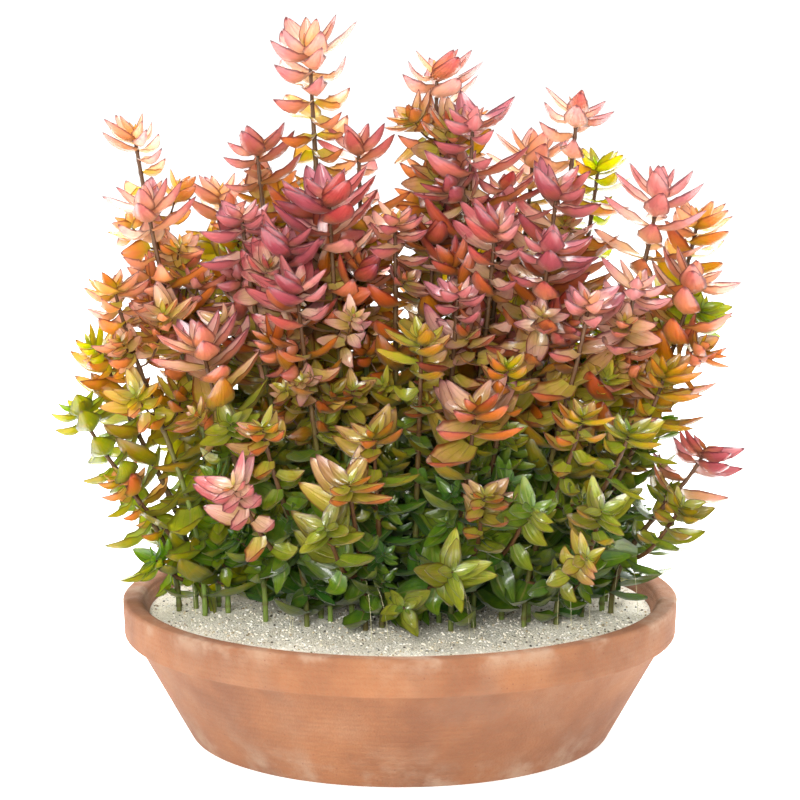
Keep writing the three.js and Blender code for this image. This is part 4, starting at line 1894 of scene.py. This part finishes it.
@dataclass
class Foliage:
    """The dressed shoots, one piece for each solid."""

    clump: Clump = field(default_factory=Clump)
    stems: StemBuilder = field(default_factory=StemBuilder)
    roots: RootThreads = field(default_factory=RootThreads)
    blade: LeafTemplate = field(default_factory=LeafTemplate)
    small_blade: LeafTemplate = field(default_factory=lambda: LeafTemplate(across=2, along=5))
    small_leaf: float = 13.0

    def build(self, effects: SharedEffects) -> list[bpy.types.Object]:
        """Builds every leafy shoot and puts it in place of its solid.

        Args:
            effects: The shared node groups.

        Returns:
            The pieces.
        """
        materials = [finish.material(effects) for finish in (LeafFinish(), StemFinish(), RootFinish())]
        blades = (FlatBlade(self.blade.build()), FlatBlade(self.small_blade.build()))
        mains = self.clump.grow()
        leaves = self.clump.leaves(mains)
        LOG.info("leaves: %d", sum(map(len, leaves.values())))
        pieces = []
        for index, main in enumerate(mains, start=1):
            bm = self.shoot_mesh(main, leaves, blades)
            piece = add_piece(f"leafy_shoot_{index:02d}", bm, materials)
            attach(piece, ROOT_BODY)
            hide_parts(f"shoot_{index:02d}")
            pieces.append(piece)
        for blade in blades:
            bpy.data.meshes.remove(blade.mesh)
        return pieces

    def shoot_mesh(
        self, main: Shoot, leaves: dict[int, list[LeafPose]], blades: tuple[FlatBlade, FlatBlade]
    ) -> bmesh.types.BMesh:
        """Builds the mesh of one main shoot with its side shoots.

        Args:
            main: The main shoot.
            leaves: All leaves, by their shoot's number.
            blades: The flat blade of a shoot's leaves, and that of a small sprout's.

        Returns:
            The mesh, in millimetres.
        """
        bm = bmesh.new()
        bm.loops.layers.uv.new("blade")
        bm.loops.layers.float.new("below")
        for name in POINT_NUMBERS:
            bm.verts.layers.float.new(name)
        for shoot in (main, *main.branches):
            self.stems.build(bm, shoot, shoot is main)
        for face in bm.faces:
            face.material_index = Part.STEM.value
        if main.number in self.roots.carriers:
            self.roots.build(bm, main)
        for shoot in (main, *main.branches):
            blade = blades[1 if shoot.leaf < self.small_leaf else 0]
            for pose in leaves[shoot.number]:
                blade.bend(pose)
                bm.from_mesh(blade.mesh)
        for face in bm.faces:
            face.smooth = True
        return bm


@dataclass
class SandBed:
    """The bed of sand: a gently uneven surface with loose grains on it."""

    top: float = 56.0
    bottom: float = 9.3
    top_radius: float = 110.5
    bottom_radius: float = 86.7
    rings: int = 30
    steps: int = 120
    sunk: float = 1.1
    relief: float = 1.6
    fine_relief: float = 0.5
    flat_margin: float = 14.0
    handfuls: int = 60
    grains_in_handful: int = 60
    grain_radius: tuple[float, float] = (0.28, 0.7)

    def height_at(self, x: float, y: float) -> float:
        """Gives the height of the uneven surface.

        Args:
            x: Place along X, in millimetres.
            y: Place along Y.

        Returns:
            The height above the ground.
        """
        broad = noise.noise(Vector((x * 0.022, y * 0.022, 3.7)))
        fine = noise.noise(Vector((x * 0.09, y * 0.09, 8.1)))
        edge = smooth_step(self.top_radius, self.top_radius - self.flat_margin, math.hypot(x, y))
        return self.top - self.sunk + (self.relief * broad + self.fine_relief * fine) * edge

    def build(self, effects: SharedEffects) -> bpy.types.Object:
        """Builds the bed with its grains and puts it in place of its solid.

        Args:
            effects: The shared node groups.

        Returns:
            The piece.
        """
        bm = bmesh.new()
        bm.verts.layers.float.new("tone")
        reach = [self.top_radius * i / self.rings for i in range(self.rings, -1, -1)]
        profile = [(0.0, self.bottom), (self.bottom_radius, self.bottom)]
        profile += [(radius, self.top) for radius in reach]
        spin_profile(bm, profile, self.steps)
        for vert in bm.verts:
            if vert.co.z > self.top - 0.1:
                vert.co.z = self.height_at(vert.co.x, vert.co.y)
        for face in bm.faces:
            face.smooth = True
        self.scatter(bm)
        materials = [SandFinish().material(effects), GrainFinish().material(effects)]
        piece = add_piece("sand_bed", bm, materials)
        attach(piece, ROOT_BODY)
        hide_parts("sand")
        return piece

    def scatter(self, bm: bmesh.types.BMesh) -> None:
        """Strews loose grains over the bed, a handful at a time.

        Args:
            bm: The bed's mesh.
        """
        draw = Random(5)
        for _ in range(self.handfuls):
            handful = bmesh.new()
            self.strew_handful(handful, draw)
            mesh = bpy.data.meshes.new("handful")
            handful.to_mesh(mesh)
            handful.free()
            bm.from_mesh(mesh)
            bpy.data.meshes.remove(mesh)

    def strew_handful(self, bm: bmesh.types.BMesh, draw: Random) -> None:
        """Adds some loose grains to a mesh.

        Args:
            bm: The mesh.
            draw: The source of chance.
        """
        tone = bm.verts.layers.float.new("tone")
        for _ in range(self.grains_in_handful):
            radius = (self.top_radius - 1.5) * math.sqrt(draw.random())
            angle = draw.uniform(0.0, 2.0 * math.pi)
            x, y = radius * math.cos(angle), radius * math.sin(angle)
            size = draw.uniform(*self.grain_radius)
            turn = Matrix.Rotation(draw.uniform(0.0, math.pi), 4, (draw.random(), draw.random(), 1.0))
            length, height = size * draw.uniform(0.8, 1.4), size * draw.uniform(0.6, 1.0)
            stretch = Matrix.Diagonal((length, size, height, 1.0))
            place = Matrix.Translation((x, y, self.height_at(x, y) + 0.1)) @ turn @ stretch
            made = bmesh.ops.create_icosphere(bm, subdivisions=1, radius=1.0, matrix=place)
            value = draw.random()
            for vert in made["verts"]:
                vert[tone] = value
                for face in vert.link_faces:
                    face.material_index = 1


def spin_profile(bm: bmesh.types.BMesh, profile: list[tuple[float, float]], steps: int) -> None:
    """Turns a line of points about the Z axis into a closed surface that faces outwards.

    Args:
        bm: The mesh to add to.
        profile: Radius and height of each point, both ends on the axis.
        steps: Number of steps in the full turn.
    """
    verts = [bm.verts.new((radius, 0.0, height)) for radius, height in profile]
    edges = [bm.edges.new(pair) for pair in zip(verts, verts[1:])]
    bmesh.ops.spin(
        bm, geom=verts + edges, cent=(0.0, 0.0, 0.0), axis=(0.0, 0.0, 1.0),
        angle=2.0 * math.pi, steps=steps, use_merge=True, use_duplicate=False,
    )
    bmesh.ops.remove_doubles(bm, verts=bm.verts, dist=0.001)
    bmesh.ops.recalc_face_normals(bm, faces=bm.faces)


@dataclass
class ClayPan:
    """The low round pan, turned smooth, with rounded edges."""

    height: float = 62.0
    rim_radius: float = 122.0
    rim_depth: float = 17.0
    rim_step: float = 5.0
    rim_thickness: float = 8.0
    foot_radius: float = 92.0
    floor_height: float = 9.0
    floor_radius: float = 87.0
    steps: int = 144

    def build(self, effects: SharedEffects) -> bpy.types.Object:
        """Builds the pan and puts it in place of its solid.

        Args:
            effects: The shared node groups.

        Returns:
            The piece.
        """
        bm = bmesh.new()
        collar = self.height - self.rim_depth
        wall_inner = self.rim_radius - self.rim_thickness
        profile = [
            (0.0, 0.0),
            (self.foot_radius, 0.0),
            (self.rim_radius - self.rim_step, collar),
            (self.rim_radius - 0.6, collar + 1.0),
            (self.rim_radius, self.height - 1.0),
            (self.rim_radius - 1.0, self.height),
            (wall_inner, self.height),
            (self.floor_radius, self.floor_height),
            (0.0, self.floor_height),
        ]
        spin_profile(bm, profile, self.steps)
        roundings = {
            (self.foot_radius, 0.0): 1.6,
            (wall_inner, self.height): 2.0,
            (self.rim_radius - 0.6, collar + 1.0): 1.0,
            (self.rim_radius - 1.0, self.height): 0.6,
        }
        self.round_off(bm, roundings)
        for face in bm.faces:
            face.smooth = True
        piece = add_piece("clay_pan", bm, [ClayFinish().material(effects)])
        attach(piece, ROOT_BODY)
        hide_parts("pan")
        return piece

    @staticmethod
    def round_off(bm: bmesh.types.BMesh, corners: dict[tuple[float, float], float]) -> None:
        """Rounds some of the rings of a turned shape.

        Args:
            bm: The mesh.
            corners: Radius and height of each ring, with the width of its rounding.
        """
        for corner, offset in corners.items():
            near = {vert for vert in bm.verts if math.dist((vert.co.xy.length, vert.co.z), corner) < 0.05}
            ring = [edge for edge in bm.edges if near.issuperset(edge.verts)]
            bmesh.ops.bevel(
                bm, geom=ring, offset=offset, offset_type="OFFSET", affect="EDGES",
                segments=4, profile=0.5, material=-1,
            )


@dataclass(frozen=True)
class SoftLight:
    """A square light: its name, its place in metres, the length of its side and its power in watts."""

    name: str
    place: tuple[float, float, float]
    side: float
    power: float


@dataclass
class Studio:
    """The pale floor, the soft lights and the camera."""

    distance: float = 1.2
    elevation: float = 9.0
    frame_width: float = 0.350
    target: tuple[float, float, float] = (0.0, 0.0, 0.1477)
    sensor: float = 36.0
    # Half the floor's side, in millimetres as all meshes are built. The rest is in metres
    floor_reach: float = 80000.0
    surroundings: float = 0.66
    lights: tuple[SoftLight, ...] = (
        SoftLight("back_light", (0.2, 1.2, 1.4), 1.0, 53.0),
        SoftLight("top_light", (-0.1, 0.12, 1.65), 0.8, 32.0),
        SoftLight("left_rim_light", (-1.2, 0.5, 0.25), 0.8, 13.0),
        SoftLight("right_rim_light", (1.3, 0.8, 0.5), 0.8, 15.0),
        SoftLight("key_light", (-0.35, -1.7, 0.75), 0.9, 40.0),
    )

    def build(self, effects: SharedEffects) -> None:
        """Builds the whole studio.

        Args:
            effects: The shared node groups.
        """
        bm = bmesh.new()
        bmesh.ops.create_grid(bm, x_segments=8, y_segments=8, size=self.floor_reach)
        floor = add_piece("pale_floor", bm, [FloorFinish().material(effects)])
        floor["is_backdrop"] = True
        self.build_world()
        for light in self.lights:
            self.hang(light)
        self.build_camera()
        bpy.context.scene.view_settings.view_transform = "Standard"

    def build_world(self) -> None:
        """Makes the surroundings plain white."""
        world = bpy.data.worlds.new("white_surroundings")
        world.use_nodes = True
        background = world.node_tree.nodes["Background"]
        background.inputs["Color"].default_value = linear(0xFFFFFF)
        background.inputs["Strength"].default_value = self.surroundings
        bpy.context.scene.world = world

    def hang(self, light: SoftLight) -> None:
        """Adds a light that faces the plant.

        Args:
            light: What it is like.
        """
        data = bpy.data.lights.new(light.name, "AREA")
        data.size = light.side
        data.energy = light.power
        lamp = bpy.data.objects.new(light.name, data)
        lamp.location = light.place
        lamp.rotation_euler = (Vector(self.target) - Vector(light.place)).to_track_quat("-Z", "Y").to_euler()
        bpy.context.scene.collection.objects.link(lamp)

    def build_camera(self) -> None:
        """Adds the camera, at the photograph's height and distance."""
        data = bpy.data.cameras.new("camera")
        data.sensor_width = self.sensor
        data.lens = self.sensor * self.distance / self.frame_width
        camera = bpy.data.objects.new("camera", data)
        tilt = math.radians(self.elevation)
        back = Vector((0.0, -math.cos(tilt), math.sin(tilt)))
        camera.location = Vector(self.target) + back * self.distance
        camera.rotation_euler = (-back).to_track_quat("-Z", "Y").to_euler()
        bpy.context.scene.collection.objects.link(camera)
        bpy.context.scene.camera = camera


def main() -> None:
    """Builds the sub-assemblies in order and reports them."""
    logging.basicConfig(level=logging.INFO, format="%(message)s")
    effects = SharedEffects()
    Studio().build(effects)
    pieces = [ClayPan().build(effects), SandBed().build(effects), *Foliage().build(effects)]
    total = 0
    for piece in pieces:
        piece.data.calc_loop_triangles()
        count = len(piece.data.loop_triangles)
        total += count
        LOG.info("%s: %d triangles", piece.name, count)
    LOG.info("triangles in all: %d", total)
    sizes = [[list(corner) for corner in box] for box in (CAD_BOX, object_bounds())]


if __name__ == "__main__":
    main()
